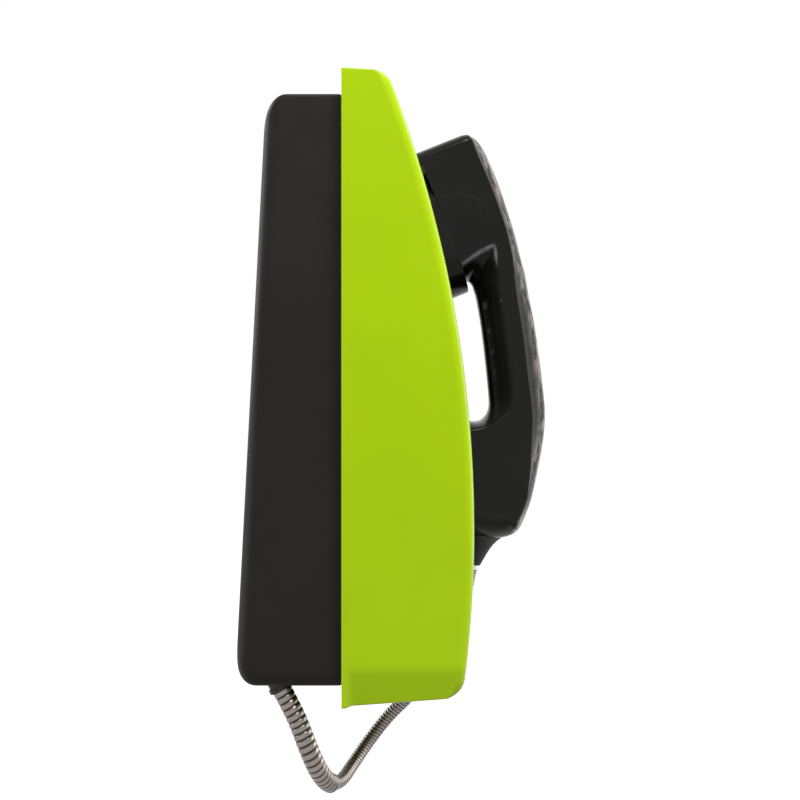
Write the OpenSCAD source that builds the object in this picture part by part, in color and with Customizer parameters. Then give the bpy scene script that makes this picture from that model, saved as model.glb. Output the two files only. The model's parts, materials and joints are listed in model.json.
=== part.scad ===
// Slimline wall phone with a steel armoured handset cord.
// The back face lies on the wall plane Y = 0, the front looks along -Y and +Z is up the wall.
// The wall box is a wedge, so the cover and all that it holds lean back by case_lean. Those pieces
// are drawn in the leaned frame as [forward, up], measured from the middle of the cover's rear rim.

/* [Cover] */
// Width of the cover
cover_w = 120; // [116:1:128]
// Height of the cover at its rear rim
cover_h = 307; // [303:1:320]
// Furthest that the cover stands forward of its rear rim
cover_depth = 63.6; // [62.6:0.2:66]
// Wall of the cover
cover_wall = 2.6; // [2.2:0.1:3]
// Rounding along the sides of the front face
cover_edge_r = 5; // [3:0.5:6]
// Rounding of the top and bottom front corners, seen from the side
cover_corner_r = 11; // [8:1:14]
// Radius of the long front arc
cover_front_r = 600; // [560:10:640]
// Height of the most forward point of the front arc, below the middle
belly_drop = 68; // [60:1:76]
// Drop of the top edge from back to front
brow_drop = 1.2; // [0.6:0.2:2]
// Rise of the bottom edge from back to front
chin_rise = 4.4; // [3:0.2:5]
// Thickness of the cover's inward rear rim
rim_t = 3; // [2:0.2:3.6]

/* [Wall box] */
// Width of the wall box
box_w = 102; // [98:1:106]
// Depth from the wall to the cover's rear rim, at mid height
box_depth = 45.3; // [43:0.1:50]
// Lean of the front, in degrees
case_lean = 3; // [2.4:0.1:3.4]
// Step from the cover's top down to the box
box_top_inset = 10.8; // [9:0.2:13]
// Step from the cover's bottom up to the box
box_bottom_inset = 8.6; // [7:0.2:10]
// Wall of the box
box_wall = 3; // [2.4:0.1:3.4]
// Rounding of the box's top and bottom back corners, seen from the side
box_corner_r = 11; // [8:1:13]
// Rounding of the box's upright back edges
box_edge_r = 8.5; // [6:0.5:10]
// Thickness of the gasket between box and cover
gasket_t = 1.2; // [0.8:0.1:1.6]
// Width of the gasket
gasket_w = 4; // [3:0.5:5]

/* [Wall mount] */
// Spacing of the wall screws across
mount_x = 60; // [56:1:66]
// Spacing of the wall screws up the wall
mount_z = 180; // [170:1:200]
// Radius of the wall screw holes
mount_r = 2.75; // [2:0.05:3.2]
// Height of the line entry above the mount's middle
line_entry_z = 70; // [64:1:74]
// Radius of the line entry hole
line_entry_r = 8; // [7:0.5:9]
// Bore of the line grommet
line_bore_r = 3; // [2.4:0.1:3.6]

/* [Handset] */
// Distance between the middles of the two cups
cup_pitch = 140; // [138:0.5:142]
// Distance of the middle of the handset ahead of the cover's rear rim
handset_forward = 67.35; // [67:0.05:70]
// Height of the middle of the handset above the middle of the cover
handset_up = 22.95; // [21:0.05:24]
// Angle of the line of the two cups, leaning back at the top
handset_lean = 2.2; // [1.8:0.1:2.6]
// Tilt of the ear cup
ear_tilt = 22; // [21:0.5:23]
// Tilt of the mouth cup
mouth_tilt = 8; // [7:0.5:9]
// Width across the ear end
ear_w = 60; // [58:1:62]
// Width across the grip
grip_w = 47; // [44:1:50]
// Width across the mouth end
mouth_w = 54; // [52:1:58]
// Wall of the handset shell
shell_wall = 3; // [2.6:0.1:3.2]
// Radius of both screw caps
cap_r = 33; // [32:0.5:34]
// Wall of the screw caps
cap_wall = 2.5; // [2:0.1:2.8]
// Depth of the ear cap
ear_cap_depth = 23.5; // [22:0.5:24]
// Depth of the mouth cap
mouth_cap_depth = 16; // [15:0.5:16.5]
// Radius of the sound holes
sound_hole_r = 1.4; // [1:0.1:1.6]
// Length of the boot outside the shell
boot_len = 17.2; // [15:0.2:19]

/* [Cradle] */
// Clearance beside the caps in the cradle
cradle_gap = 3.4; // [2.6:0.1:3.6]
// Wall of the cradle tray
tray_wall = 2.6; // [2.2:0.1:3]
// Width of the cord trough below the mouth cup
trough_w = 44; // [42:1:50]
// Gap between a seated piece and its seat
seat_gap = 0.3; // [0.25:0.01:0.35]
// Gap around a piece that slides or lies in a cut-out
fit_gap = 0.3; // [0.25:0.01:0.35]

/* [Keypad] */
// Forward position of the keypad face
keypad_forward = 42; // [41:0.2:43]
// Width of a key
key_w = 12; // [11:0.2:12.4]
// Height of a key
key_h = 9; // [8.4:0.1:9.4]
// Spacing of the keys across
key_pitch_x = 15; // [14.6:0.1:16]
// Spacing of the keys up
key_pitch_z = 11.4; // [11.2:0.1:11.6]
// Height of a key above the keypad face
key_proud = 2.2; // [1.8:0.1:2.4]
// Travel of a key
key_travel = 1.5; // [1:0.1:1.8]

/* [Hook switch] */
// Radius of the hook plunger
plunger_r = 3; // [2.6:0.1:3.4]
// Travel of the hook plunger
plunger_travel = 5; // [4:0.5:5.5]
// Sideways place of the hook plunger
plunger_x = 20; // [18:0.5:21]

/* [Cord] */
// Outer diameter of the armoured cord over its ribs
cord_d = 7; // [6.4:0.1:7.2]
// Outer diameter of the coarse-wound sleeve at the box
sleeve_d = 10; // [9.8:0.1:10.6]
// Depth of a cord rib
cord_rib = 0.45; // [0.3:0.05:0.5]
// Depth of a sleeve rib
sleeve_rib = 0.9; // [0.6:0.05:1]

/* [Hidden] */
KEY_MARKS = ["1", "2", "3", "4", "5", "6", "7", "8", "9", "star", "0", "hash"];
KEY_NODES = [for (m = KEY_MARKS) str("key_", m)];
$fn = 48;
big = 400;
hull_fn = 32;
skirt = 12;

// ---- colours ----
green = [0.62, 0.8, 0.1];
black = [0.08, 0.08, 0.085];
dark_grey = [0.22, 0.22, 0.23];
rubber = [0.05, 0.05, 0.05];
steel = [0.72, 0.72, 0.7];
brass = [0.8, 0.65, 0.3];
blue = [0.1, 0.35, 0.6];
board_green = [0.1, 0.4, 0.2];
pale = [0.85, 0.85, 0.8];
key_grey = [0.75, 0.76, 0.78];

// ---- frames ----
// Turns the leaned frame into place on the wall.
module leaned() { translate([0, -box_depth, 0]) rotate([-case_lean, 0, 0]) children(); }
// Extrudes a side profile, drawn as [forward, up], across the phone.
module across(w) { rotate([90, 0, -90]) linear_extrude(w, center = true) children(); }
// Puts a front-view shape, drawn towards +Z, at a place and points it forward.
module facing(forward, up, x = 0) { translate([x, -forward, up]) rotate([90, 0, 0]) children(); }

function along(angle) = [cos(angle), sin(angle)];
handset_mid = [handset_forward, handset_up];
ear_c = handset_mid + cup_pitch / 2 * along(90 + handset_lean);
mouth_c = handset_mid - cup_pitch / 2 * along(90 + handset_lean);
// A point out by t along the ear cup's axis and down by r beside it, and the same for the mouth
// cup, where r goes up.
function ear_pt(t, r) = ear_c + t * along(ear_tilt) + r * along(ear_tilt - 90);
function mouth_pt(t, r) = mouth_c + t * along(-mouth_tilt) + r * along(90 - mouth_tilt);
// Cap axes beside the cup middles, and the planes of the cap faces and skirts.
ear_cap_r0 = 5.5;
ear_skirt_t = -16.5;
mouth_skirt_t = -11.5;
ear_face_t = ear_skirt_t - ear_cap_depth;
mouth_face_t = mouth_skirt_t - mouth_cap_depth;
module at_ear() {
  translate([0, -ear_pt(0, ear_cap_r0).x, ear_pt(0, ear_cap_r0).y]) rotate([90 - ear_tilt, 0, 0])
    children();
}
module at_mouth() {
  translate([0, -mouth_c.x, mouth_c.y]) rotate([90 + mouth_tilt, 0, 0]) children();
}

// ---- cover ----
cover_top = cover_h / 2;
cover_bottom = -cover_h / 2;
front_c = [cover_depth - cover_front_r, -belly_drop];
function front_at(up) = front_c.x + sqrt(pow(cover_front_r, 2) - pow(up - front_c.y, 2));
chin_up = cover_bottom + chin_rise;
brow_up = cover_top - brow_drop;
arc_steps = 24;
brow_slope = brow_drop / front_at(brow_up);
chin_slope = chin_rise / front_at(chin_up);

// Side outline of the cover, carried on behind the rim by a skirt that is cut off later.
module cover_outline() {
  offset(r = cover_corner_r, $fn = hull_fn) offset(delta = -cover_corner_r)
    polygon(concat(
      [[-skirt - cover_corner_r, cover_bottom - (skirt + cover_corner_r) * chin_slope]],
      [for (i = [0 : arc_steps]) let (up = chin_up + (brow_up - chin_up) * i / arc_steps)
        [front_at(up), up]],
      [[-skirt - cover_corner_r, cover_top + (skirt + cover_corner_r) * brow_slope]]));
}

// The cover's outer form, or its hollow when it is drawn smaller by inset.
module cover_form(inset) {
  hull()
    for (t = [0 : 22.5 : 90])
      across(cover_w - 2 * inset - 2 * cover_edge_r * (1 - sin(t)))
        offset(delta = -inset - cover_edge_r * (1 - cos(t))) cover_outline();
}

// Everything behind a given distance ahead of the rear rim.
module behind(forward) {
  translate([-big / 2, -forward, -big]) cube([big, big / 2, 2 * big]);
}

// ---- wall box ----
box_top = cover_top - box_top_inset;
box_bottom = cover_bottom + box_bottom_inset;
function back_at(up) = -(box_depth - up * sin(case_lean)) / cos(case_lean);

// Replaces each corner of a polygon by an arc of its own radius, where the radius is not 0.
round_steps = 6;
function corner_arc(a, b, c, r) =
  let (u = (a - b) / norm(a - b), v = (c - b) / norm(c - b), half = acos(u * v) / 2,
    m = (u + v) / norm(u + v), o = b + m * r / sin(half),
    p = b + u * r / tan(half), q = b + v * r / tan(half),
    a0 = atan2(p.y - o.y, p.x - o.x), a1 = atan2(q.y - o.y, q.x - o.x),
    turn = a1 - a0 > 180 ? a1 - a0 - 360 : a1 - a0 < -180 ? a1 - a0 + 360 : a1 - a0)
  [for (i = [0 : round_steps]) o + r * along(a0 + turn * i / round_steps)];
function rounded(pts, radii) = [for (i = [0 : len(pts) - 1])
  each radii[i] == 0 ? [pts[i]] :
    corner_arc(pts[(i + len(pts) - 1) % len(pts)], pts[i], pts[(i + 1) % len(pts)], radii[i])];

// The box's outer form behind a given forward plane, or its hollow when inset is the wall.
module box_form(inset, forward) {
  top = box_top - inset;
  bottom = box_bottom + inset;
  half_w = box_w / 2 - inset;
  edge = box_edge_r - inset / 2;
  intersection() {
    leaned() across(box_w) polygon(rounded(
      [[forward, bottom], [forward, top], [back_at(top) + inset, top], [back_at(bottom) + inset, bottom]],
      [0, 0, box_corner_r - inset / 2, box_corner_r - inset / 2]));
    translate([0, 0, -big / 2]) linear_extrude(big) polygon(rounded(
      [[-half_w, -big / 2], [half_w, -big / 2], [half_w, -inset], [-half_w, -inset]],
      [0, 0, edge, edge]));
  }
}

// ---- posts and screws that hold the cover to the box ----
post_r = 5;
post_x = box_w / 2 - box_wall - post_r - fit_gap;
post_top = box_top - box_wall - post_r - fit_gap;
// The lower posts stand above the cord's bushing.
post_bottom = box_bottom + 34;
cover_posts = [for (x = [-post_x, post_x], up = [post_bottom, post_top]) [x, up]];
screw_r = 2;
screw_head_r = 3.6;
screw_head_t = 3;
head_well_r = 4;
head_seat = 7;
screw_len = 26;
pilot_clear = 0.05;

/* Screw drawn with its head's underside at z = 0 and its shank downwards. */
module screw(len, r, head_r, head_t) {
  drive_r = head_r * 0.45;
  translate([0, 0, -len]) cylinder(len + head_t / 2, r = r);
  difference() {
    cylinder(head_t, r = head_r);
    translate([0, 0, head_t / 2]) cylinder(head_t, r = drive_r, $fn = 6);
  }
}

mount_pad_r = 7;
mount_pad_t = 1.5;

module back_box() {
  color(black) difference() {
    union() {
      difference() {
        box_form(0, -gasket_t);
        box_form(box_wall, big / 4);
      }
      intersection() {
        leaned() for (p = cover_posts) facing(-big / 4, p.y, p.x) cylinder(big / 4 - gasket_t, r = post_r);
        box_form(box_wall / 2, -gasket_t);
      }
      intersection() {
        leaned() at_bushing() cylinder(bushing_len - nut_t, r = bushing_boss_r);
        box_form(box_wall / 2, 0);
      }
      for (x = [-1, 1], z = [-1, 1]) wall_at(x * mount_x / 2, z * mount_z / 2)
        cylinder(box_wall + mount_pad_t, r = mount_pad_r);
    }
    leaned() for (p = cover_posts)
      facing(head_seat - screw_len - 1, p.y, p.x) cylinder(screw_len, r = screw_r + pilot_clear);
    for (x = [-1, 1], z = [-1, 1])
      wall_at(x * mount_x / 2, z * mount_z / 2) translate([0, 0, -1]) cylinder(big / 8, r = mount_r);
    wall_at(0, line_entry_z) translate([0, 0, -1]) cylinder(big / 8, r = line_entry_r);
    leaned() at_bushing() {
      translate([0, 0, -bushing_len]) cylinder(3 * bushing_len, r = bushing_r + pilot_clear);
      translate([0, 0, -bushing_len]) cylinder(bushing_len + bushing_lip_t, r = bushing_lip_r + fit_gap);
    }
    for (p = standoff_places) wall_at(p.x, p.y) translate([0, 0, box_wall / 2])
      cylinder(box_wall, r = board_screw_r + pilot_clear);
  }
}

// A place on the wall side of the box, pointing forward from the wall plane.
module wall_at(x, z) { translate([x, 0, z]) rotate([90, 0, 0]) children(); }

// ---- cradle: the hollow between the cheeks, and the solids around it ----
window_w = 2 * (cap_r + cradle_gap);
tray_w = window_w - 2 * fit_gap;
ear_seat_t = ear_face_t - seat_gap;
mouth_seat_t = mouth_face_t - seat_gap;
ear_roof_r = -40;
ridge_r = cap_r + 1.5;
ledge_up = mouth_pt(mouth_skirt_t, -cap_r).y - seat_gap;
far_forward = 95;
notch_forward = 56;
trough_low = [31, cover_bottom - 2];
trough_high_up = -92;

// Outline of the cradle hollow, grown by t.
function seat_cross(t) = (keypad_forward - t - ear_pt(ear_seat_t - t, 0).x) / sin(ear_tilt);
function mouth_low(t) = (ledge_up - t - mouth_pt(mouth_seat_t - t, 0).y) / cos(mouth_tilt);
function ridge_back(t) = t == 0 ? [[keypad_forward, mouth_pt(mouth_seat_t, ridge_r).y],
    mouth_pt(mouth_seat_t, ridge_r)] :
  [mouth_pt(mouth_seat_t - t, (keypad_forward - t - mouth_pt(mouth_seat_t - t, 0).x) / sin(mouth_tilt))];
function cradle_outline(t) = concat(
  [[far_forward, ear_pt(5, ear_roof_r - t).y], ear_pt(5, ear_roof_r - t),
    ear_pt(ear_seat_t - t, ear_roof_r - t), ear_pt(ear_seat_t - t, seat_cross(t))],
  ridge_back(t),
  [mouth_pt(mouth_seat_t - t, mouth_low(t)), [far_forward, ledge_up - t]]);
function trough_outline(t) = [
  [notch_forward - t, ledge_up + (t == 0 ? 1 : -t / 2)], [notch_forward - t, trough_high_up],
  [trough_low.x - t, trough_low.y], [far_forward, trough_low.y], [far_forward, ledge_up + 1]];

module cradle_hollow(t) {
  across(window_w - 2 * fit_gap - 2 * tray_wall + 2 * t) polygon(cradle_outline(t));
  across(trough_w + 2 * t) polygon(trough_outline(t));
}

// The opening in the cover, a little larger than the tray.
module cover_window() {
  across(window_w) polygon(cradle_outline(tray_wall + fit_gap));
  across(trough_w + 2 * tray_wall + 2 * fit_gap) polygon(trough_outline(tray_wall + fit_gap));
}

// The space inside the cover's front face, down by drop.
tray_rim_drop = 1;
module under_front(drop) {
  across(big / 2) polygon(concat(
    [[-skirt, cover_bottom + tray_wall / 2]],
    [for (i = [0 : arc_steps]) let (up = chin_up + (brow_up - chin_up) * i / arc_steps)
      [front_at(up) - drop, up]],
    [[-skirt, cover_top]]));
}

module front_cover() {
  color(green) leaned() difference() {
    union() {
      difference() {
        cover_form(0);
        cover_form(cover_wall);
      }
      intersection() {
        union() {
          difference() {
            behind(rim_t);
            across(box_w - 2 * box_wall - 2 * gasket_w) square([big, box_top + -box_bottom
              - 2 * box_wall - 2 * gasket_w], center = true);
          }
          for (p = cover_posts) facing(0, p.y, p.x) cylinder(cover_depth, r = post_r + fit_gap);
          for (side = [-1, 1]) cheek_rib(side);
        }
        cover_form(cover_wall / 2);
      }
    }
    behind(0);
    cover_window();
    for (p = cover_posts) facing(head_seat, p.y, p.x) cylinder(big / 4, r = head_well_r);
    for (p = cover_posts) facing(-1, p.y, p.x) cylinder(big / 4, r = screw_r + fit_gap);
    for (side = [-1, 1]) tab_screw_place(side) translate([0, 0, -tray_screw_len - 1])
      cylinder(tray_screw_len, r = tray_screw_r + pilot_clear);
  }
}

module cover_gasket() {
  color(rubber) intersection() {
    difference() {
      box_form(seat_gap, 0);
      leaned() behind(-gasket_t);
      leaned() translate([0, 0, (box_top + box_bottom) / 2])
        cube([box_w - 2 * gasket_w, big, box_top - box_bottom - 2 * gasket_w], center = true);
      leaned() for (p = cover_posts) facing(-skirt, p.y, p.x) cylinder(2 * skirt, r = post_r + 1);
    }
    box_form(0, 0);
  }
}

module cover_screws() {
  color(steel) leaned() for (p = cover_posts)
    facing(head_seat, p.y, p.x) screw(screw_len, screw_r, screw_head_r, screw_head_t);
}

// ---- cradle tray ----
// The keypad fills the flat between the two seats, so its keys and rows follow the flat's height.
flat_top = ear_pt(ear_seat_t, seat_cross(0)).y;
flat_bottom = mouth_pt(mouth_seat_t, ridge_r).y;
keypad_up = (flat_top + flat_bottom) / 2;
keypad_margin = 0.6;
key_flange = 0.9;
bezel_rim = 1.8;
bezel_edge = key_flange + fit_gap + bezel_rim;
bezel_w = 2 * key_pitch_x + key_w + 2 * bezel_edge;
bezel_h = flat_top - flat_bottom - 2 * keypad_margin;
keypad_fit = (bezel_h - 2 * bezel_edge) / (3 * key_pitch_z + key_h);
row_pitch = key_pitch_z * keypad_fit;
cap_h = key_h * keypad_fit;
bezel_t = 1.6;
bezel_wing = 6;
bezel_wing_t = 1.5;
bezel_wing_h = bezel_h - 8;
keypad_screw_r = 1;
keypad_screw_tip = keypad_forward - tray_wall + 2.1;
keypad_screws_at = [for (x = [-1, 1], z = [-1, 1])
  [x * (bezel_w + bezel_wing) / 2, keypad_up + z * (bezel_wing_h - bezel_wing) / 2]];
boss_r = plunger_r + 2.6;
boss_back = 8;
tray_screw_r = 1.25;
tray_tab_t = 2.6;
tray_tab_w = 9;
tray_tab_len = 10;
plunger_up = ear_pt(ear_seat_t, 0).y;

module cradle_tray() {
  color(dark_grey) leaned() difference() {
    union() {
      intersection() {
        difference() {
          cradle_hollow(tray_wall);
          cradle_hollow(0);
        }
        under_front(tray_rim_drop);
      }
      difference() {
        facing(boss_back, plunger_up, plunger_x)
          cylinder(ear_pt(ear_seat_t, 0).x - boss_back + boss_r, r = boss_r);
        cradle_hollow(0.01);
      }
      for (side = [-1, 1]) tray_tab(side);
    }
    facing(0, plunger_up, plunger_x) cylinder(far_forward, r = plunger_r + fit_gap);
    facing(0, keypad_up) linear_extrude(far_forward)
      square([bezel_w + 2 * fit_gap, bezel_h + 2 * fit_gap], center = true);
    for (side = [-1, 1]) tab_screw_place(side) translate([0, 0, -far_forward])
      cylinder(far_forward + 1, r = tray_screw_r + fit_gap);
    for (p = keypad_screws_at) facing(0, p.y, p.x)
      cylinder(keypad_screw_tip + pilot_clear, r = keypad_screw_r + pilot_clear);
  }
}

// Tabs beside the tray, screwed from behind to ribs on the cheeks' inner walls.
tab_x = tray_w / 2 + tray_tab_w / 2;
tab_forward = 20;
module tab_screw_place(side) {
  translate([side * tab_x, -tab_forward, keypad_up]) rotate([-90, 0, 0]) children();
}
module tray_tab(side) {
  facing(tab_forward, keypad_up, side * (tab_x - 1)) linear_extrude(tray_tab_t)
    square([tray_tab_w, tray_tab_len], center = true);
  facing(tab_forward, keypad_up, side * (tray_w - tray_wall) / 2)
    linear_extrude(keypad_forward - tab_forward) square([tray_wall, tray_tab_len], center = true);
}

// The rib on a cheek's inner wall, from the tray's tab forward.
cheek_rib_depth = 10;
module cheek_rib(side) {
  facing(tab_forward + tray_tab_t, keypad_up, side * (cover_w / 2 + tray_w / 2 + fit_gap) / 2)
    linear_extrude(cheek_rib_depth)
      square([cover_w / 2 - tray_w / 2 - fit_gap, tray_tab_len], center = true);
}

tray_screw_len = tray_tab_t + cheek_rib_depth / 2;
module tray_screws() {
  color(steel) leaned() for (side = [-1, 1]) tab_screw_place(side)
    screw(tray_screw_len, tray_screw_r, 2.4, 1.8);
}

// ---- keypad ----
key_names_across = 3;
function key_place(k) = [
  (k % key_names_across - 1) * key_pitch_x,
  keypad_up + (1.5 - floor(k / key_names_across)) * row_pitch];
key_flange_t = 1;
mat_t = 1.4;
dome_r = 2.6;
dome_t = 1.2;
mat_forward = keypad_forward - bezel_t - seat_gap - key_flange_t - key_travel - seat_gap - dome_t - mat_t;
kboard_t = 1.6;
kboard_forward = mat_forward - kboard_t;
wing_forward = keypad_forward - tray_wall - bezel_wing_t;

// Steel plate with a rim behind it, two wings that lie on the back of the tray, and four feet
// on the wings for the keypad board.
module keypad_bezel() {
  rim_depth = keypad_forward - mat_forward;
  color(steel) leaned() difference() {
    union() {
      facing(mat_forward, keypad_up) linear_extrude(rim_depth) square([bezel_w, bezel_h], center = true);
      facing(wing_forward, keypad_up) linear_extrude(bezel_wing_t)
        square([bezel_w + 2 * bezel_wing, bezel_wing_h], center = true);
      for (p = keypad_screws_at)
        facing(mat_forward, p.y, p.x - sign(p.x) * bezel_rim / 2)
          linear_extrude(wing_forward - mat_forward + bezel_wing_t / 2)
            square([bezel_wing + bezel_rim, bezel_wing], center = true);
    }
    facing(mat_forward - 1, keypad_up) linear_extrude(rim_depth + 1 - bezel_t)
      square([bezel_w - 2 * bezel_rim, bezel_h - 2 * bezel_rim], center = true);
    for (k = [0 : 11]) facing(0, key_place(k).y, key_place(k).x) linear_extrude(far_forward)
      square([key_w + 2 * fit_gap, cap_h + 2 * fit_gap], center = true);
    for (p = keypad_screws_at) facing(0, p.y, p.x) cylinder(far_forward, r = keypad_screw_r + fit_gap);
  }
}

key_step = 0.8;
module key_cap(k) {
  stem = key_flange_t + seat_gap + bezel_t + key_proud;
  back = keypad_forward + key_proud - stem;
  color(key_grey) leaned() facing(back, key_place(k).y, key_place(k).x) {
    linear_extrude(key_flange_t) square([key_w + 2 * key_flange, cap_h + 2 * key_flange], center = true);
    linear_extrude(stem - key_step) square([key_w, cap_h], center = true);
    linear_extrude(stem) square([key_w - 2 * key_step, cap_h - 2 * key_step], center = true);
  }
}

module key_mat() {
  color(pale) leaned() {
    facing(mat_forward, keypad_up) linear_extrude(mat_t)
      square([bezel_w - 2 * bezel_rim - 2 * fit_gap, bezel_h - 2 * bezel_rim - 2 * fit_gap], center = true);
    for (k = [0 : 11]) facing(mat_forward + mat_t / 2, key_place(k).y, key_place(k).x)
      cylinder(mat_t / 2 + dome_t, r = dome_r);
  }
}

module keypad_board() {
  color(board_green) leaned() difference() {
    facing(kboard_forward, keypad_up) linear_extrude(kboard_t)
      union() {
        square([bezel_w, bezel_h], center = true);
        square([bezel_w + 2 * bezel_wing, bezel_wing_h], center = true);
      }
    for (p = keypad_screws_at) facing(0, p.y, p.x) cylinder(far_forward, r = keypad_screw_r + fit_gap);
  }
}

// Four screws from behind, through board and bezel into the back of the tray.
module keypad_screws() {
  color(steel) leaned() for (p = keypad_screws_at)
    translate([p.x, -kboard_forward, p.y]) rotate([-90, 0, 0])
      screw(keypad_screw_tip - kboard_forward, keypad_screw_r, 2, 1.4);
}

// ---- hook switch ----
// The rounded tip stands seat_gap behind the ear cap's face.
tip_forward = ear_pt(ear_face_t, 0).x + (ear_pt(ear_face_t, 0).y - plunger_up) * tan(ear_tilt)
  - (plunger_r + seat_gap) / cos(ear_tilt);
collar_t = 2;
collar_forward = boss_back - plunger_travel - seat_gap - collar_t;
rod_back = collar_forward - 4;
bracket_forward = collar_forward - 12;
bracket_t = 1.5;
bracket_w = 16;
spring_r = 4;
spring_wire = 0.5;
switch_pin_r = 1;

module hook_plunger() {
  color(pale) leaned() {
    facing(rod_back, plunger_up, plunger_x) cylinder(tip_forward - rod_back, r = plunger_r);
    facing(tip_forward, plunger_up, plunger_x) sphere(r = plunger_r);
    facing(collar_forward, plunger_up, plunger_x) cylinder(collar_t, r = boss_r - 0.6);
  }
}

// The spring is a plain sleeve around the plunger's rear end.
module hook_spring() {
  color(steel) leaned() facing(bracket_forward + bracket_t, plunger_up, plunger_x)
    difference() {
      cylinder(collar_forward - bracket_forward - bracket_t - seat_gap, r = spring_r + spring_wire);
      translate([0, 0, -1]) cylinder(big, r = spring_r - spring_wire);
    }
}

// U-shaped plate whose two arms stand on the back of the tray.
module hook_bracket() {
  arm = ear_pt(ear_seat_t - tray_wall, 0).x - bracket_forward;
  color(steel) leaned() difference() {
    union() {
      facing(bracket_forward, plunger_up, plunger_x) linear_extrude(bracket_t)
        square([bracket_w, bracket_w], center = true);
      difference() {
        for (s = [-1, 1]) facing(bracket_forward, plunger_up, plunger_x + s * (bracket_w - bracket_t) / 2)
          linear_extrude(arm + bracket_w) square([bracket_t, bracket_w], center = true);
        cradle_hollow(tray_wall + 0.01);
      }
    }
    facing(bracket_forward - 1, plunger_up, plunger_x) cylinder(bracket_t + 2, r = switch_pin_r + fit_gap);
  }
}

switch_size = [12.8, 6.4, 6.5];
module hook_switch() {
  color(black) leaned() facing(bracket_forward, plunger_up, plunger_x) {
    translate([-switch_size.x / 2, -switch_size.y / 2, -switch_size.z]) cube(switch_size);
    cylinder(rod_back - bracket_forward - seat_gap, r = switch_pin_r);
  }
}

// ---- main board and what it carries ----
board_size = [80, 120];
board_t = 1.6;
board_up = -20;
board_y = 14;
standoff_r = 3;
board_screw_r = 1.2;
standoff_places = [for (x = [-1, 1], z = [-1, 1])
  [x * (board_size.x / 2 - 5), board_up + z * (board_size.y / 2 - 6)]];

// A place on the board's front face, up from its lower edge, pointing forward.
board_bottom = board_up - board_size.y / 2;
module on_board(x, z) { translate([x, -board_y - board_t, board_bottom + z]) rotate([90, 0, 0]) children(); }

module main_board() {
  color(board_green) difference() {
    translate([-board_size.x / 2, -board_y - board_t, board_up - board_size.y / 2])
      cube([board_size.x, board_t, board_size.y]);
    for (p = standoff_places) wall_at(p.x, p.y) cylinder(big / 8, r = board_screw_r + fit_gap);
  }
}

module board_standoffs() {
  color(brass) for (p = standoff_places) wall_at(p.x, p.y) difference() {
    translate([0, 0, box_wall]) cylinder(board_y - box_wall, r = standoff_r);
    cylinder(board_y + 1, r = board_screw_r + pilot_clear);
  }
}

module board_screws() {
  color(steel) for (p = standoff_places) wall_at(p.x, p.y)
    translate([0, 0, board_y + board_t]) screw(board_y + board_t - box_wall + 1, board_screw_r, 2.3, 1.7);
}

transformer_at = [-20, 26];
module line_transformer() {
  foot = [20, 18, 3];
  core = [16, 14, 14];
  bobbin = [22, 10, 9];
  color(dark_grey) on_board(transformer_at.x, transformer_at.y) {
    translate([0, 0, foot.z / 2]) cube(foot, center = true);
    translate([0, 0, core.z / 2]) cube(core, center = true);
    translate([0, 0, bobbin.z / 2 + 2]) cube(bobbin, center = true);
  }
}

// Each row is [across, up, radius, height].
capacitor_rows = [[8, 20, 5, 13], [20, 20, 4, 11], [8, 33, 3.2, 10]];
module board_capacitors() {
  color(dark_grey) for (c = capacitor_rows) on_board(c[0], c[1]) cylinder(c[3], r = c[2]);
}

relay_at = [-29, 72];
relay_size = [12, 20, 11];
module board_relay() {
  color(black) on_board(relay_at.x, relay_at.y) cube(relay_size);
}

// Each row is [across, up, size].
chip_rows = [[-6, 52, [14, 14, 1.8]], [14, 68, [6, 16, 1.6]], [-8, 84, [10, 6, 1.6]]];
module board_chips() {
  color(black) for (c = chip_rows) on_board(c[0], c[1]) cube(c[2]);
}

terminal_ways = 4;
terminal_pitch = 5.08;
terminal_depth = 9;
terminal_h = 10;
terminal_up = board_size.y - 1 - terminal_depth;
module terminal_block() {
  row = terminal_ways * terminal_pitch;
  color(blue) difference() {
    on_board(-row / 2, terminal_up) cube([row, terminal_depth, terminal_h]);
    for (i = [0 : terminal_ways - 1])
      on_board((i + 0.5) * terminal_pitch - row / 2, terminal_up + terminal_depth / 2)
        translate([0, 0, terminal_h * 0.6]) cylinder(terminal_h, r = 1.6);
  }
}

// Flat cable between the keypad board and the main board.
ribbon_w = 14;
ribbon_t = 0.9;
ribbon_up = 90;
module keypad_ribbon() {
  color(pale) {
    low = [-board_y - board_t, board_bottom + ribbon_up];
    top_y = -box_depth - kboard_forward * cos(case_lean) + keypad_up * sin(case_lean) + 0.1;
    top_z = keypad_up + kboard_forward * sin(case_lean);
    rotate([90, 0, 90]) linear_extrude(ribbon_w, center = true) polygon([
      low, [low.x - 8, low.y], [top_y, top_z - ribbon_t], [top_y, top_z],
      [low.x - 8 + ribbon_t, low.y + ribbon_t], [low.x, low.y + ribbon_t]]);
  }
}

ringer_r = 15;
ringer_t = 5;
ringer_dome_t = 7;
ringer_up = box_top - box_wall - ringer_r - 13;
module ringer_disc() {
  color(brass) wall_at(0, ringer_up) translate([0, 0, box_wall]) {
    cylinder(ringer_t, r = ringer_r);
    cylinder(ringer_dome_t, r = ringer_r * 0.6);
  }
}

grommet_flange = 2.2;
module line_grommet() {
  color(rubber) wall_at(0, line_entry_z) difference() {
    union() {
      translate([0, 0, 0.4]) cylinder(box_wall + grommet_flange, r = line_entry_r - 0.05);
      translate([0, 0, box_wall]) cylinder(grommet_flange, r = line_entry_r + grommet_flange);
    }
    translate([0, 0, -1]) cylinder(big / 8, r = line_bore_r);
  }
}

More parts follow.
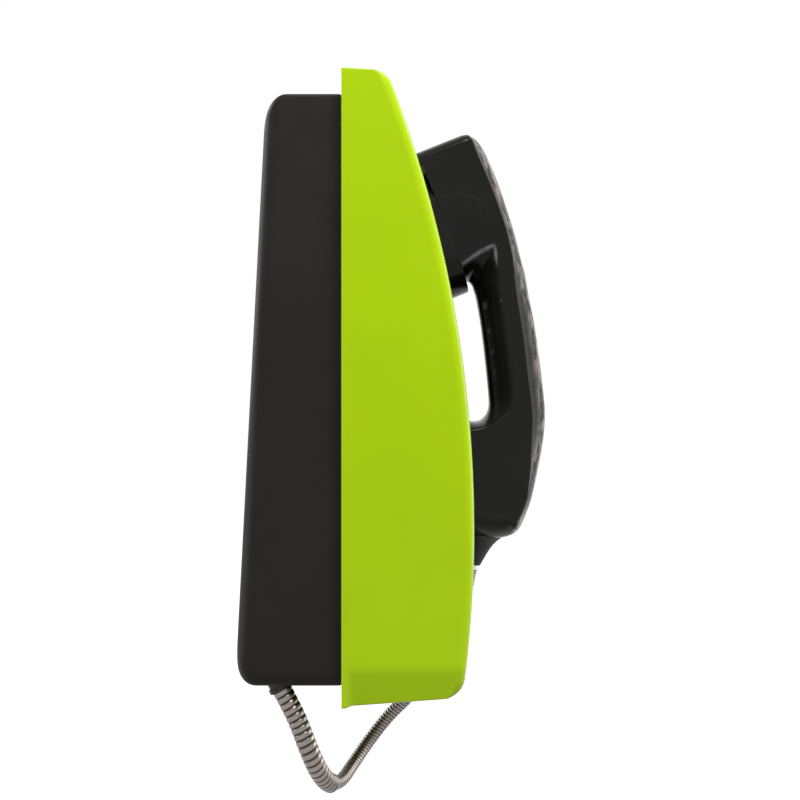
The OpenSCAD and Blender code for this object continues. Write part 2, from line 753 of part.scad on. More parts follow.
// ---- cord and its fittings ----
// Knots of the cord as [across, forward, up], from the handset boot to the box, for a mouth cup at
// knots_mouth and a box whose bottom lies at knots_bottom. The upper knots follow the mouth cup and
// the lower ones the box.
knots_mouth = [70.037, -46.998];
knots_bottom = -144.9;
knots = [[0, 65, -94.5], [0, 61.5, -109.5], [3, 57, -121.5], [9, 52, -135], [14, 44, -149.5],
  [22, 34.5, -164.5], [25, 21.5, -178.5], [20, 11, -190.5], [9, 3, -199.5], [-5.5, -2.5, -203.5],
  [-19, -7.5, -201], [-30.5, -12, -192.5], [-37, -16.5, -180.5], [-38, -23, -163.5],
  [-38, -30.5, -148.5]];
follow_from = 2;
follow_to = 11;
function follows(i) = max(0, min(1, (i - follow_from) / (follow_to - follow_from)));
mouth_move = mouth_c - knots_mouth;
route = [for (i = [0 : len(knots) - 1]) knots[i] + follows(i) * [0, 0, box_bottom - knots_bottom]
  + (1 - follows(i)) * [0, mouth_move.x, mouth_move.y]];
route_start = route[0];
route_end = route[len(route) - 1];
boot_dir = (route[0] - route[1]) / norm(route[0] - route[1]);
end_dir = (route_end - route[len(route) - 2]) / norm(route_end - route[len(route) - 2]);

// Catmull-Rom point between route[i] and route[i + 1].
function knot(i) = i < 0 ? 2 * route[0] - route[1] :
  i > len(route) - 1 ? 2 * route_end - route[len(route) - 2] : route[i];
function cr(i, t) = 0.5 * (2 * knot(i) + (knot(i + 1) - knot(i - 1)) * t
  + (2 * knot(i - 1) - 5 * knot(i) + 4 * knot(i + 1) - knot(i + 2)) * t * t
  + (3 * knot(i) - knot(i - 1) - 3 * knot(i + 1) + knot(i + 2)) * t * t * t);
function on_route(s) = let (i = min(floor(s), len(route) - 2)) cr(i, s - i);
function to_xyz(p) = [p.x, -p.y, p.z];

// A closed tube: outer rings with their own radii, and a bore with its own, fewer rings.
sides = 8;
function unit(v) = v / norm(v);
function ring(s, r, lo, hi) =
  let (e = 0.01, t = unit(on_route(min(s + e, hi)) - on_route(max(s - e, lo))),
    u = unit(cross([0, 1, 0], t)), v = cross(t, u))
  [for (k = [0 : sides - 1]) to_xyz(on_route(s) + r * (cos(360 * k / sides) * u + sin(360 * k / sides) * v))];
function side_faces(first, n, flip) = [for (i = [0 : n - 2], k = [0 : sides - 1])
  let (a = first + i * sides + k, b = first + i * sides + (k + 1) % sides, c = b + sides, d = a + sides)
  each flip ? [[a, c, b], [a, d, c]] : [[a, b, c], [a, c, d]]];
function end_faces(outer, inner, flip) = [for (k = [0 : sides - 1])
  let (a = outer + k, b = outer + (k + 1) % sides, c = inner + (k + 1) % sides, d = inner + k)
  each flip ? [[a, c, b], [a, d, c]] : [[a, b, c], [a, c, d]]];
module ribbed_tube(from, to, ribs, crest_r, root_r, bore_r, bore_rings) {
  n = 2 * ribs + 1;
  outer = [for (i = [0 : n - 1])
    each ring(from + (to - from) * i / (n - 1), i % 2 == 0 ? root_r : crest_r, 0, len(route) - 1)];
  inner = [for (i = [0 : bore_rings - 1])
    each ring(from + (to - from) * i / (bore_rings - 1), bore_r, 0, len(route) - 1)];
  inner_first = len(outer);
  polyhedron(concat(outer, inner), concat(
    side_faces(0, n, false),
    side_faces(inner_first, bore_rings, true),
    end_faces(0, inner_first, true),
    end_faces((n - 1) * sides, inner_first + (bore_rings - 1) * sides, false)));
}

cord_bore_r = 1.6;
cord_ribs = 116;
cord_bore_rings = 36;
module armoured_cord() {
  color(steel) leaned()
    ribbed_tube(0, len(route) - 1, cord_ribs, cord_d / 2, cord_d / 2 - cord_rib, cord_bore_r,
      cord_bore_rings);
}

sleeve_from = len(route) - 5;
sleeve_ribs = 19;
sleeve_rings = 20;
module cord_sleeve() {
  color(steel) leaned()
    ribbed_tube(sleeve_from, len(route) - 1, sleeve_ribs, sleeve_d / 2, sleeve_d / 2 - sleeve_rib,
      cord_d / 2 + 0.25, sleeve_rings);
}

// Frame at the box end of the cord, pointing into the box.
bushing_tilt = atan2(end_dir.y, end_dir.z);
module at_bushing() { translate(to_xyz(route_end)) rotate([bushing_tilt, 0, 0]) children(); }
bushing_r = 5.4;
bushing_len = 20;
bushing_lip_r = 6.2;
bushing_lip_t = 2;
bushing_bore_r = 4;
bushing_boss_r = 8.5;
nut_r = 8;
nut_t = 4;
anchor_len = 8;
anchor_r = 5;
lanyard_r = 1.2;

module cord_bushing() {
  color(steel) leaned() at_bushing() difference() {
    union() {
      cylinder(bushing_len, r = bushing_r);
      cylinder(bushing_lip_t, r = bushing_lip_r);
    }
    translate([0, 0, -1]) cylinder(bushing_len + 2, r = bushing_bore_r);
  }
}

module bushing_nut() {
  color(brass) leaned() at_bushing() translate([0, 0, bushing_len - nut_t]) difference() {
    cylinder(nut_t, r = nut_r, $fn = 6);
    translate([0, 0, -1]) cylinder(nut_t + 2, r = bushing_r + pilot_clear);
  }
}

// Crimped collar that holds the cord's inner steel lanyard.
module cord_anchor() {
  color(steel) leaned() at_bushing() translate([0, 0, bushing_len]) difference() {
    cylinder(anchor_len, r = anchor_r);
    translate([0, 0, -1]) cylinder(anchor_len + 2, r = lanyard_r);
  }
}

// ---- handset ----
// Each row gives an inner point, an outer point and a width share for one section of the shell.
// The sections fan round from the ear cup into the grip and out again into the mouth cup.
ear_sections = [
  [[-16.5, 33], [-16.5, -37], 1], [[-15.5, 32.9], [0, -37.2], 1], [[-14.8, 32.9], [10, -36.8], 0.96],
  [[-14.2, 33], [15.6, -33.4], 0.92], [[-13.8, 33.2], [18.2, -26], 0.92], [[-13.5, 33.7], [18.8, -11], 0.9],
  [[-13.4, 34.6], [18, 5.6], 0.85], [[-13.4, 36], [16.6, 22.2], 0.7], [[-13.7, 38.6], [14.5, 38.1], 0.35]];
grip_sections = [
  [[0.6, 24], [28.1, 25]], [[3, 10], [31, 10.5]], [[5.2, -8], [33.6, -7.6]], [[6.9, -25], [35.8, -26]]];
mouth_sections = [
  [[-0.9, 38.2], [28.9, 37.4], 0.05], [[-1.6, 34.1], [29.6, 25.3], 0.2], [[-3.6, 31.2], [29.2, 13.2], 0.5],
  [[-5.7, 29.9], [28.3, 1], 0.75], [[-7.3, 29.3], [26.6, -12.4], 0.9], [[-8.1, 29.2], [23.8, -21.7], 1],
  [[-8.8, 29.2], [19.9, -26.7], 1], [[-9.5, 29.3], [12.2, -29.6], 1], [[-10.2, 29.4], [0.2, -30.1], 1],
  [[-11, 29.5], [-11, -30], 1]];
function share_w(f, w) = (grip_w + f * (w - grip_w)) / 2;
shell_sections = concat(
  [for (s = ear_sections) [ear_pt(s[0].x, s[0].y), ear_pt(s[1].x, s[1].y), share_w(s[2], ear_w)]],
  [for (s = grip_sections) [handset_mid + s[0], handset_mid + s[1], grip_w / 2]],
  [for (s = mouth_sections) [mouth_pt(s[0].x, s[0].y), mouth_pt(s[1].x, s[1].y), share_w(s[2], mouth_w)]]);

// One section: a rounded box of the given power between its inner and outer points.
shell_sides = 24;
section_power = 2.7;
function bulge(c) = sign(c) * pow(abs(c), 2 / section_power);
function section_ring(s, inset) =
  let (d = unit(s[1] - s[0]), a = s[0] + inset * d, b = s[1] - inset * d,
    m = (a + b) / 2, h = norm(b - a) / 2)
  [for (k = [0 : shell_sides - 1]) let (p = m + h * bulge(cos(360 * k / shell_sides)) * d)
    [(s[2] - inset) * bulge(sin(360 * k / shell_sides)), -p.x, p.y]];
function loft_sides(n) = [for (i = [0 : n - 2], k = [0 : shell_sides - 1])
  let (a = i * shell_sides + k, b = i * shell_sides + (k + 1) % shell_sides,
    c = b + shell_sides, d = a + shell_sides)
  each [[a, b, c], [a, c, d]]];
module handset_form(inset) {
  n = len(shell_sections);
  polyhedron([for (s = shell_sections) each section_ring(s, inset)],
    concat([[for (k = [shell_sides - 1 : -1 : 0]) k]], loft_sides(n),
      [[for (k = [0 : shell_sides - 1]) (n - 1) * shell_sides + k]]));
}

spigot_r = cap_r - cap_wall - fit_gap;
spigot_wall = 2.5;
ear_spigot = ear_cap_depth - cap_wall - 4;
mouth_spigot = mouth_cap_depth - cap_wall - 3;
plate_t = 3;

module handset_shell() {
  color(black) leaned() difference() {
    union() {
      handset_form(0);
      at_ear() translate([0, 0, ear_skirt_t - ear_spigot]) cylinder(ear_spigot + 1, r = spigot_r);
      at_mouth() translate([0, 0, mouth_skirt_t - mouth_spigot]) cylinder(mouth_spigot + 1, r = spigot_r);
    }
    difference() {
      handset_form(shell_wall);
      at_ear() translate([0, 0, ear_skirt_t - 1]) cylinder(plate_t + 1, r = big / 8);
      at_mouth() translate([0, 0, mouth_skirt_t - 1]) cylinder(plate_t + 1, r = big / 8);
    }
    at_ear() translate([0, 0, ear_skirt_t - ear_spigot - 1])
      cylinder(ear_spigot + plate_t + 2, r = spigot_r - spigot_wall);
    at_mouth() translate([0, 0, mouth_skirt_t - mouth_spigot - 1])
      cylinder(mouth_spigot + plate_t + 2, r = spigot_r - spigot_wall);
    at_boot() translate([0, 0, boot_len - 2]) cylinder(12, r = boot_neck_r + pilot_clear);
  }
}

// A screw cap with its face at z = 0 and its skirt upwards, and holes for the sound.
module screw_cap(depth) {
  difference() {
    rotate_extrude() polygon([
      [0, 0], [cap_r - cap_bevel, 0], [cap_r, cap_bevel], [cap_r, depth],
      [cap_r - cap_wall, depth], [cap_r - cap_wall, cap_wall], [0, cap_wall]]);
    sound_hole(0, 0);
    for (i = [0 : 5]) sound_hole(60 * i, sound_ring_r);
    for (i = [0 : 11]) sound_hole(30 * i + 15, 2 * sound_ring_r);
  }
}
cap_bevel = 3;
sound_ring_r = 6;
module sound_hole(angle, r) {
  rotate(angle) translate([r, 0, -1]) cylinder(cap_wall + 2, r = sound_hole_r);
}

module ear_cap() {
  color(black) leaned() at_ear() translate([0, 0, ear_face_t]) screw_cap(ear_cap_depth);
}
module mouth_cap() {
  color(black) leaned() at_mouth() translate([0, 0, mouth_face_t]) screw_cap(mouth_cap_depth);
}

capsule_r = spigot_r - spigot_wall - 0.4;
washer_t = 1;
module receiver_gasket() {
  color(rubber) leaned() at_ear() translate([0, 0, ear_face_t + cap_wall]) difference() {
    cylinder(washer_t, r = capsule_r);
    translate([0, 0, -1]) cylinder(3, r = capsule_r - 5);
  }
}
module receiver_capsule() {
  color(dark_grey) leaned() at_ear() translate([0, 0, ear_face_t + cap_wall + washer_t]) {
    cylinder(9, r = capsule_r);
    cylinder(13, r = capsule_r * 0.5);
  }
}
holder_t = 6;
mic_r = 5;
module mic_holder() {
  color(dark_grey) leaned() at_mouth() translate([0, 0, mouth_face_t + cap_wall]) difference() {
    cylinder(holder_t, r = capsule_r);
    translate([0, 0, -1]) cylinder(holder_t - 1, r = mic_r + pilot_clear);
  }
}
module mic_capsule() {
  color(steel) leaned() at_mouth() translate([0, 0, mouth_face_t + cap_wall])
    cylinder(holder_t - 2, r = mic_r);
}

// Frame at the cord's top end, pointing up into the boot.
boot_r = 9;
boot_end_r = 4.9;
boot_neck_r = 5.4;
ferrule_len = 3;
boot_tilt = atan2(boot_dir.y, boot_dir.z);
module at_boot() { translate(to_xyz(route_start)) rotate([boot_tilt, 0, 0]) children(); }
module handset_boot() {
  color(rubber) leaned() difference() {
    union() {
      difference() {
        at_boot() translate([0, 0, ferrule_len]) cylinder(boot_len + 4, r1 = boot_end_r, r2 = boot_r);
        handset_form(0);
      }
      at_boot() translate([0, 0, boot_len - 4]) cylinder(10, r = boot_neck_r);
    }
    at_boot() translate([0, 0, -1]) cylinder(boot_len + 20, r = cord_bore_r + 0.6);
  }
}
module cord_ferrule() {
  color(steel) leaned() at_boot() difference() {
    translate([0, 0, seat_gap]) cylinder(ferrule_len - seat_gap, r = boot_end_r - 0.4);
    translate([0, 0, -1]) cylinder(ferrule_len + 2, r = cord_bore_r);
  }
}

back_box();
front_cover();
cover_gasket();
cover_screws();
cradle_tray();
tray_screws();
keypad_bezel();
key_mat();
keypad_board();
keypad_screws();
hook_plunger();
hook_spring();
hook_bracket();
hook_switch();
main_board();
board_standoffs();
board_screws();
line_transformer();
board_capacitors();
board_relay();
board_chips();
terminal_block();
keypad_ribbon();
ringer_disc();
line_grommet();
cord_bushing();
bushing_nut();
cord_anchor();
handset_shell();
ear_cap();
mouth_cap();
receiver_capsule();
receiver_gasket();
mic_capsule();
mic_holder();
handset_boot();
cord_ferrule();
armoured_cord();
cord_sleeve();
for (k = [0 : 11]) key_cap(k);
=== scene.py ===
# %% [markdown]
# # A slim wall phone
# The phone is a black box on the wall, a lime green cover, a black handset that lies between the
# cover's two cheeks, and a short steel armoured cord. The construction is loaded as a frame that
# never moves. The visible shells, the handset, its caps, the keys and the cord are made here as smooth
# surfaces, and the inner pieces keep their own shape and only get a finish.

# %% Load the frame
import json
import math
from contextlib import contextmanager

import bmesh
import bpy
import numpy as np
from mathutils import Matrix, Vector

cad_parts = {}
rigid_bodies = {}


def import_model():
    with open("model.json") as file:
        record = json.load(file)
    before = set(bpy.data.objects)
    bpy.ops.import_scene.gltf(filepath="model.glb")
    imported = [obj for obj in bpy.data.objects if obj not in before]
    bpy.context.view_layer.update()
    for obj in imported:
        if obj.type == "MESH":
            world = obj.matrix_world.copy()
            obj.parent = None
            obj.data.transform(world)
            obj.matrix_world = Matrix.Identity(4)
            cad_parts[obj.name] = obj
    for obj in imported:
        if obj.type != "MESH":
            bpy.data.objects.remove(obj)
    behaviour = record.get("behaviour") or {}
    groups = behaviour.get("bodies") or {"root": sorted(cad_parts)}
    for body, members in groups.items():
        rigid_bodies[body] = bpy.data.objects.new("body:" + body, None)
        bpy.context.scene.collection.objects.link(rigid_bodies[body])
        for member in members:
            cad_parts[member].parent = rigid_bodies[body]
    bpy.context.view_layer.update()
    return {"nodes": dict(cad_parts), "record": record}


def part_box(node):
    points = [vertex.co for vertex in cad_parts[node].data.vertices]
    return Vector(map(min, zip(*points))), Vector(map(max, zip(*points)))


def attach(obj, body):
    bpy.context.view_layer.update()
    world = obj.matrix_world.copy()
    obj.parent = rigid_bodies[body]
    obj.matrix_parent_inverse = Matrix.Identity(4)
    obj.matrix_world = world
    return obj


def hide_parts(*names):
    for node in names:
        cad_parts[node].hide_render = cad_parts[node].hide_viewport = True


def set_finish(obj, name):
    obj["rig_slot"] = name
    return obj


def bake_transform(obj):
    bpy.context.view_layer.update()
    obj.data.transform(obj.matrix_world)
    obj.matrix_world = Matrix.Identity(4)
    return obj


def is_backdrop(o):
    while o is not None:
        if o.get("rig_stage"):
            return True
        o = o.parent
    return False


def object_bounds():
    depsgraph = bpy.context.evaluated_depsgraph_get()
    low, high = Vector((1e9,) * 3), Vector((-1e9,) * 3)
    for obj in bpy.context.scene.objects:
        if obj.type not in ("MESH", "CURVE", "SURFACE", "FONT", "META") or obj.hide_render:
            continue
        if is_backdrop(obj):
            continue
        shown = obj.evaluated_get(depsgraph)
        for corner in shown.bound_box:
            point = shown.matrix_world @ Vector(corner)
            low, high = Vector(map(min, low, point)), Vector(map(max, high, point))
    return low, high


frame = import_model()
scene = bpy.context.scene

# %% [markdown]
# ## The leaning frame
# The front of the phone leans back by three degrees. All its shapes are easier to write as a distance
# forward of the cover's rear rim and a height above its middle, so one function turns such a place
# into the frame of the wall. Lengths are in millimetres until then.

# %% Leaning frame
MM = 0.001
CASE_LEAN = math.radians(3)
BOX_DEPTH = 45.3


def lean(across, forward, up):
    """Turns places in millimetres, leaning with the case, into metres in the wall's frame."""
    across, forward, up = np.broadcast_arrays(across, forward, up)
    c, s = math.cos(CASE_LEAN), math.sin(CASE_LEAN)
    return np.stack([across, -BOX_DEPTH - c * forward + s * up, s * forward + c * up], -1) * MM


def lean_points(points):
    """The same for an array whose last axis is across, forward and up."""
    return lean(points[..., 0], points[..., 1], points[..., 2])


def unlean(points):
    """Turns places in metres back into across, forward and up in millimetres."""
    x, y, z = np.asarray(points, float).T / MM
    c, s = math.cos(CASE_LEAN), math.sin(CASE_LEAN)
    y = y + BOX_DEPTH
    return x, -c * y + s * z, s * y + c * z


# %% [markdown]
# ## Camera
# The phone is seen square from its left side, from about arm's length, with the case upright in the
# picture. The camera's axes are set straight from the leaning frame.

# %% Camera
CAMERA_DISTANCE = 640
CAMERA_FORWARD = 27.9
CAMERA_UP = -5.7
LENS = 54.8


def placed(data, name, right, up, back, place):
    """Links a camera or lamp that looks along -back from a place in metres."""
    made = bpy.data.objects.new(name, data)
    scene.collection.objects.link(made)
    matrix = np.eye(4)
    matrix[:3, 0], matrix[:3, 1], matrix[:3, 2], matrix[:3, 3] = right, up, back, place
    made.matrix_world = Matrix(matrix.tolist())
    return made


camera_data = bpy.data.cameras.new("camera")
camera_data.sensor_width = 36
camera_data.lens = LENS
camera_data.clip_start = 0.01
camera_data.clip_end = 50
up_axis = np.array([0, math.sin(CASE_LEAN), math.cos(CASE_LEAN)])
back_axis = np.array([-1.0, 0, 0])
camera = placed(camera_data, "camera", np.cross(up_axis, back_axis), up_axis, back_axis,
                lean(-CAMERA_DISTANCE, CAMERA_FORWARD, CAMERA_UP))
scene.camera = camera
print("camera at", [round(v, 3) for v in camera.matrix_world.translation])

# %% [markdown]
# ## Surfaces from arrays
# Each new piece is a grid of points, rows by columns, worked out as one array. Quads join the
# neighbours, and a grid that runs round a piece closes on itself.

# %% Grid meshes


def grid_faces(rows, columns, wrap_columns=False):
    """Quads that join each point of a rows by columns grid to its neighbours."""
    across = np.arange(columns if wrap_columns else columns - 1)
    r, c = (a.ravel() for a in np.meshgrid(np.arange(rows - 1), across, indexing="ij"))
    c2 = (c + 1) % columns
    return np.stack([r * columns + c, r * columns + c2, (r + 1) * columns + c2, (r + 1) * columns + c], -1)


def full_turn(steps):
    """Even angles of a full turn, from 0."""
    return np.arange(steps) * 2 * math.pi / steps


def end_faces(rows, columns):
    """The polygons over the first and the last ring of a closed grid."""
    return [list(range(columns)), list(range((rows - 1) * columns, rows * columns))[::-1]]


def mesh_from(name, points, quads, polygons=()):
    """A mesh from an array of points, an array of quads and a few larger polygons."""
    mesh = bpy.data.meshes.new(name)
    faces = np.asarray(quads).tolist() + [list(map(int, p)) for p in polygons]
    mesh.from_pydata(np.asarray(points, float).reshape(-1, 3).tolist(), [], faces)
    mesh.update()
    return mesh


def places_of(mesh):
    """The places of a mesh's points, as an array."""
    places = np.zeros(3 * len(mesh.vertices))
    mesh.vertices.foreach_get("co", places)
    return places.reshape(-1, 3)


def link(name, mesh):
    """Puts a mesh into the scene as an object at the origin."""
    piece = bpy.data.objects.new(name, mesh)
    scene.collection.objects.link(piece)
    return piece


@contextmanager
def editing(piece):
    """Opens a piece's mesh as a bmesh and writes it back afterwards."""
    work = bmesh.new()
    work.from_mesh(piece.data)
    yield work
    work.to_mesh(piece.data)
    work.free()


def outwards(piece):
    """Merges doubled points of a closed piece and turns all its faces to point outwards."""
    with editing(piece) as work:
        bmesh.ops.remove_doubles(work, verts=work.verts, dist=1e-6)
        bmesh.ops.recalc_face_normals(work, faces=work.faces)
    return piece


def smooth(piece, angle):
    """Shades a piece smooth, with sharp edges past an angle in degrees, and steadies its flats."""
    piece.data.polygons.foreach_set("use_smooth", np.ones(len(piece.data.polygons), bool))
    piece.data.set_sharp_from_angle(angle=math.radians(angle))
    steady = piece.modifiers.new("steady", "WEIGHTED_NORMAL")
    steady.keep_sharp = True
    return piece


def cut(piece, tool, operation="DIFFERENCE"):
    """Cuts a tool out of a piece, or adds it to the piece, and removes the tool."""
    change = piece.modifiers.new("cut", "BOOLEAN")
    change.object = tool
    change.operation = operation
    change.solver = "EXACT"
    piece.data = bpy.data.meshes.new_from_object(
        piece.evaluated_get(bpy.context.evaluated_depsgraph_get()))
    piece.modifiers.clear()
    bpy.data.objects.remove(tool)
    return piece


# %% [markdown]
# ## Who carries what
# Each new piece stands for a node of the construction, takes the finish of that node's slot and rides
# on the same body, so that it moves with it.

# %% Stand for a node
FRAME_SLOT = {part["node"]: part["material_slot"] for part in frame["record"]["subparts"]}


def stands_for(piece, node, body):
    """Hides a node behind a new piece, which takes its slot and rides on its body."""
    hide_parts(node)
    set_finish(piece, FRAME_SLOT[node])
    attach(piece, body)
    print("%s: %d faces" % (piece.name, len(piece.data.polygons)))
    return piece


# %% [markdown]
# ## The cord's route
# The armoured cord hangs from the handset, swings out to the right, turns below the phone and comes
# up into the bottom of the box. The route is a list of given points, joined by a smooth curve
# through all of them. The cord is short, and its lowest part is a plain U just below the phone.

# %% Route
ROUTE = [
    (0, 65, -94.5), (0, 61.5, -109.5), (3, 57, -121.5), (9, 52, -135), (14, 44, -149.5),
    (22, 34.5, -164.5), (25, 21.5, -178.5), (20, 11, -190.5), (9, 3, -199.5), (-5.5, -2.5, -203.5),
    (-19, -7.5, -201), (-30.5, -12, -192.5), (-37, -16.5, -180.5), (-38, -23, -163.5),
    (-38, -30.5, -148.5)]
LAST_KNOT = len(ROUTE) - 1
SLEEVE_FROM = LAST_KNOT - 4
CORD_D = 7.0
SLEEVE_D = 10.0
FINE_STEPS = 4000
PATH_STEPS = 240


def spline(knots, at):
    """The Catmull-Rom curve through rows of knots, at counting from knot to knot."""
    full = np.vstack([2 * knots[0] - knots[1], knots, 2 * knots[-1] - knots[-2]])
    i = np.clip(np.floor(at).astype(int), 0, len(knots) - 2)
    t = (at - i)[:, None]
    a, b, c, d = full[i], full[i + 1], full[i + 2], full[i + 3]
    return 0.5 * (2 * b + (c - a) * t + (2 * a - 5 * b + 4 * c - d) * t**2 + (3 * b - a - 3 * c + d) * t**3)


def even_route(first, last, steps):
    """Points of the route at even spacing, in metres, and the distance along it of each in millimetres."""
    fine = spline(np.array(ROUTE, float), np.linspace(first, last, FINE_STEPS))
    run = np.concatenate([[0], np.cumsum(np.linalg.norm(np.diff(fine, axis=0), axis=1))])
    at = np.linspace(0, run[-1], steps)
    points = np.stack([np.interp(at, run, fine[:, k]) for k in range(3)], -1)
    return lean_points(points), at


route_points, route_run = even_route(0, LAST_KNOT, PATH_STEPS)

# %% [markdown]
# ## The steel hose
# The hose is one steel strip wound into a tight helix, each turn hooked into the next. So the
# surface is a tube whose radius rises and falls along a screw line: the phase is the distance along
# the cord divided by the pitch, less the angle round it. The coarse sleeve near the box is the same
# thing with a larger pitch and deeper, rounder turns. The winding is kept as a UV map, because the
# strip's brushed lines have to follow it.

# %% Wound tube


def wound_tube(name, first, last, diameter, pitch, depth, rings_per_turn, sides, sharpness):
    """A tube along the route whose radius follows a screw line.

    Radius = half the diameter less depth times a wave of the phase, where phase = run / pitch
    - angle / turn. The wave is raised to a power, so the crests are broad and the grooves narrow, and
    a small share rises along each turn, because its edge lies over the next one."""
    length = even_route(first, last, FINE_STEPS)[1][-1]
    rings = int(length / pitch * rings_per_turn)
    points, run = even_route(first, last, rings)
    tangent = np.gradient(points, axis=0)
    tangent /= np.linalg.norm(tangent, axis=1)[:, None]
    side = np.cross(np.array([0, 1.0, 0]), tangent)
    side /= np.linalg.norm(side, axis=1)[:, None]
    other = np.cross(tangent, side)
    angle = full_turn(sides)
    phase = run[:, None] / pitch - angle[None, :] / (2 * math.pi)
    groove = 0.75 * np.abs(np.cos(math.pi * phase)) ** sharpness + 0.25 * (phase % 1)
    ends = np.minimum(run, run[-1] - run)[:, None] / diameter
    radius = MM * (diameter / 2 - depth * groove * np.clip(ends * 4, 0, 1))
    ring = (side[:, None, :] * np.cos(angle)[None, :, None]
            + other[:, None, :] * np.sin(angle)[None, :, None])
    shell = points[:, None, :] + radius[..., None] * ring
    mesh = mesh_from(name, shell, grid_faces(rings, sides, wrap_columns=True), end_faces(rings, sides))
    loops = np.zeros(len(mesh.loops), np.int64)
    mesh.loops.foreach_get("vertex_index", loops)
    around, along = loops % sides, loops // sides
    winding = np.stack([around / sides, run[along] / pitch - around / sides], -1).astype(np.float32)
    mesh.uv_layers.new(name="winding").data.foreach_set("uv", winding.ravel())
    piece = outwards(link(name, mesh))
    mesh.polygons.foreach_set("use_smooth", np.ones(len(mesh.polygons), bool))
    return piece


HOSE_PITCH, HOSE_GROOVE = 1.93, 0.2
SLEEVE_PITCH, SLEEVE_GROOVE = 3.34, 0.42
hose = wound_tube("steel_hose", 0, LAST_KNOT, CORD_D, HOSE_PITCH, HOSE_GROOVE,
                  rings_per_turn=10, sides=44, sharpness=5)
sleeve = wound_tube("coarse_sleeve", SLEEVE_FROM, LAST_KNOT, SLEEVE_D, SLEEVE_PITCH, SLEEVE_GROOVE,
                    rings_per_turn=14, sides=52, sharpness=4)
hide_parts("armoured_cord")
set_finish(hose, "hose_steel")
# The ends of a slanting line from the ferrule to a place by the sleeve, in metres.
BLEND_END = (-55.7, -13.0, -150.2)
tuple(map(float, lean(*ROUTE[0])))
tuple(map(float, lean(*BLEND_END)))
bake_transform(hose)
stands_for(sleeve, "cord_sleeve", "housing")

# %% [markdown]
# ## The wall box
# The box is a pan, moulded in one piece. Its sections, cut parallel to the wall, are rectangles with
# rounded corners, nearly sharp at the top and well rounded below. They stay the same up to the last
# centimetre before the wall, and then draw in along two arcs: one for the upright edges and a larger
# one for the top and bottom. A second, smaller pan inside gives the wall its thickness, and the rims
# of the two are joined.

# %% Wall box
COVER_H = 307.0
BOX_W = 102.0
BOX_TOP = COVER_H / 2 - 10.8
BOX_BOTTOM = -COVER_H / 2 + 8.6
BOX_MIDDLE = (BOX_TOP + BOX_BOTTOM) / 2
BOX_WALL = 3.0
GASKET_T = 1.2
GASKET_W = 4.0
BOX_EDGE_R = 8.5
BOX_CORNER_R = 11.0
TOP_R = (1.8, 1.8)
BOTTOM_R = (4.5, 9.0)
GROMMET_HOLE_R = 8.05
BUSHING_HOLE_R = 6.5


def round_rectangle(half_w, half_h, top_radius, bottom_radius, side_steps=14, arc_steps=10):
    """A closed outline with a quarter of an ellipse at each corner: columns are across and up."""
    arc = np.linspace(0, math.pi / 2, arc_steps + 1)
    corners = []
    for k in range(4):
        wide, high = top_radius if k < 2 else bottom_radius
        cx = (half_w - wide) * (1 if k in (0, 3) else -1)
        cy = (half_h - high) * (1 if k < 2 else -1)
        turned = arc + k * math.pi / 2
        corners.append(np.stack([cx + wide * np.cos(turned), cy + high * np.sin(turned)], -1))
    t = np.arange(1, side_steps)[:, None] / side_steps
    closed = []
    for k in range(4):
        a, b = corners[k][-1], corners[(k + 1) % 4][0]
        closed += [corners[k], a + (b - a) * t]
    return np.vstack(closed)


def box_outline(inset, flare=0.0):
    """The box's section, drawn in by inset, its corners opened further by flare towards the wall."""
    half_h = (BOX_TOP - BOX_BOTTOM) / 2 - inset
    top, bottom = np.array(TOP_R) - inset / 4 + 8 * flare, np.array(BOTTOM_R) - inset / 2 + 4 * flare
    return round_rectangle(BOX_W / 2 - inset, half_h, top, bottom)


def pan_rings(inset, flat_steps=12, arc_steps=12):
    """Rings of the box from its rim to its back, drawn smaller all round by inset."""
    edge, corner = BOX_EDGE_R - inset / 2, BOX_CORNER_R - inset / 2
    rings = []
    for depth in corner * (1 - np.sin(np.linspace(0, math.pi / 2, arc_steps + 1))):
        e = edge - math.sqrt(max(edge**2 - max(edge - depth, 0) ** 2, 0))
        c = corner - math.sqrt(max(corner**2 - (corner - depth) ** 2, 0))
        outline = box_outline(inset, (1 - depth / corner) ** 2)
        half_w, half_h = BOX_W / 2 - inset, (BOX_TOP - BOX_BOTTOM) / 2 - inset
        outline = outline * [(half_w - e) / half_w, (half_h - c) / half_h]
        up = outline[:, 1] + BOX_MIDDLE
        forward = (depth + inset - BOX_DEPTH + math.sin(CASE_LEAN) * up) / math.cos(CASE_LEAN)
        rings.append(np.stack([outline[:, 0], forward, up], -1))
    front = rings[0].copy()
    front[:, 1] = -GASKET_T
    flats = [front + (rings[0] - front) * t for t in np.linspace(0, 1, flat_steps, endpoint=False)]
    back = []
    for share in (0.75, 0.5, 0.25, 0.02):
        ring = rings[-1].copy()
        ring[:, 0] *= share
        ring[:, 2] = BOX_MIDDLE + (ring[:, 2] - BOX_MIDDLE) * share
        ring[:, 1] = (inset - BOX_DEPTH + math.sin(CASE_LEAN) * ring[:, 2]) / math.cos(CASE_LEAN)
        back.append(ring)
    return np.array(flats + rings + back)


def closed_rings(name, rings):
    """A closed piece from rings of across, forward and up, with a face over each end."""
    count, columns = rings.shape[:2]
    faces = grid_faces(count, columns, wrap_columns=True)
    return outwards(link(name, mesh_from(name, lean_points(rings), faces, end_faces(count, columns))))


wall_box = closed_rings("wall_box", np.concatenate([pan_rings(0)[::-1], pan_rings(BOX_WALL)]))

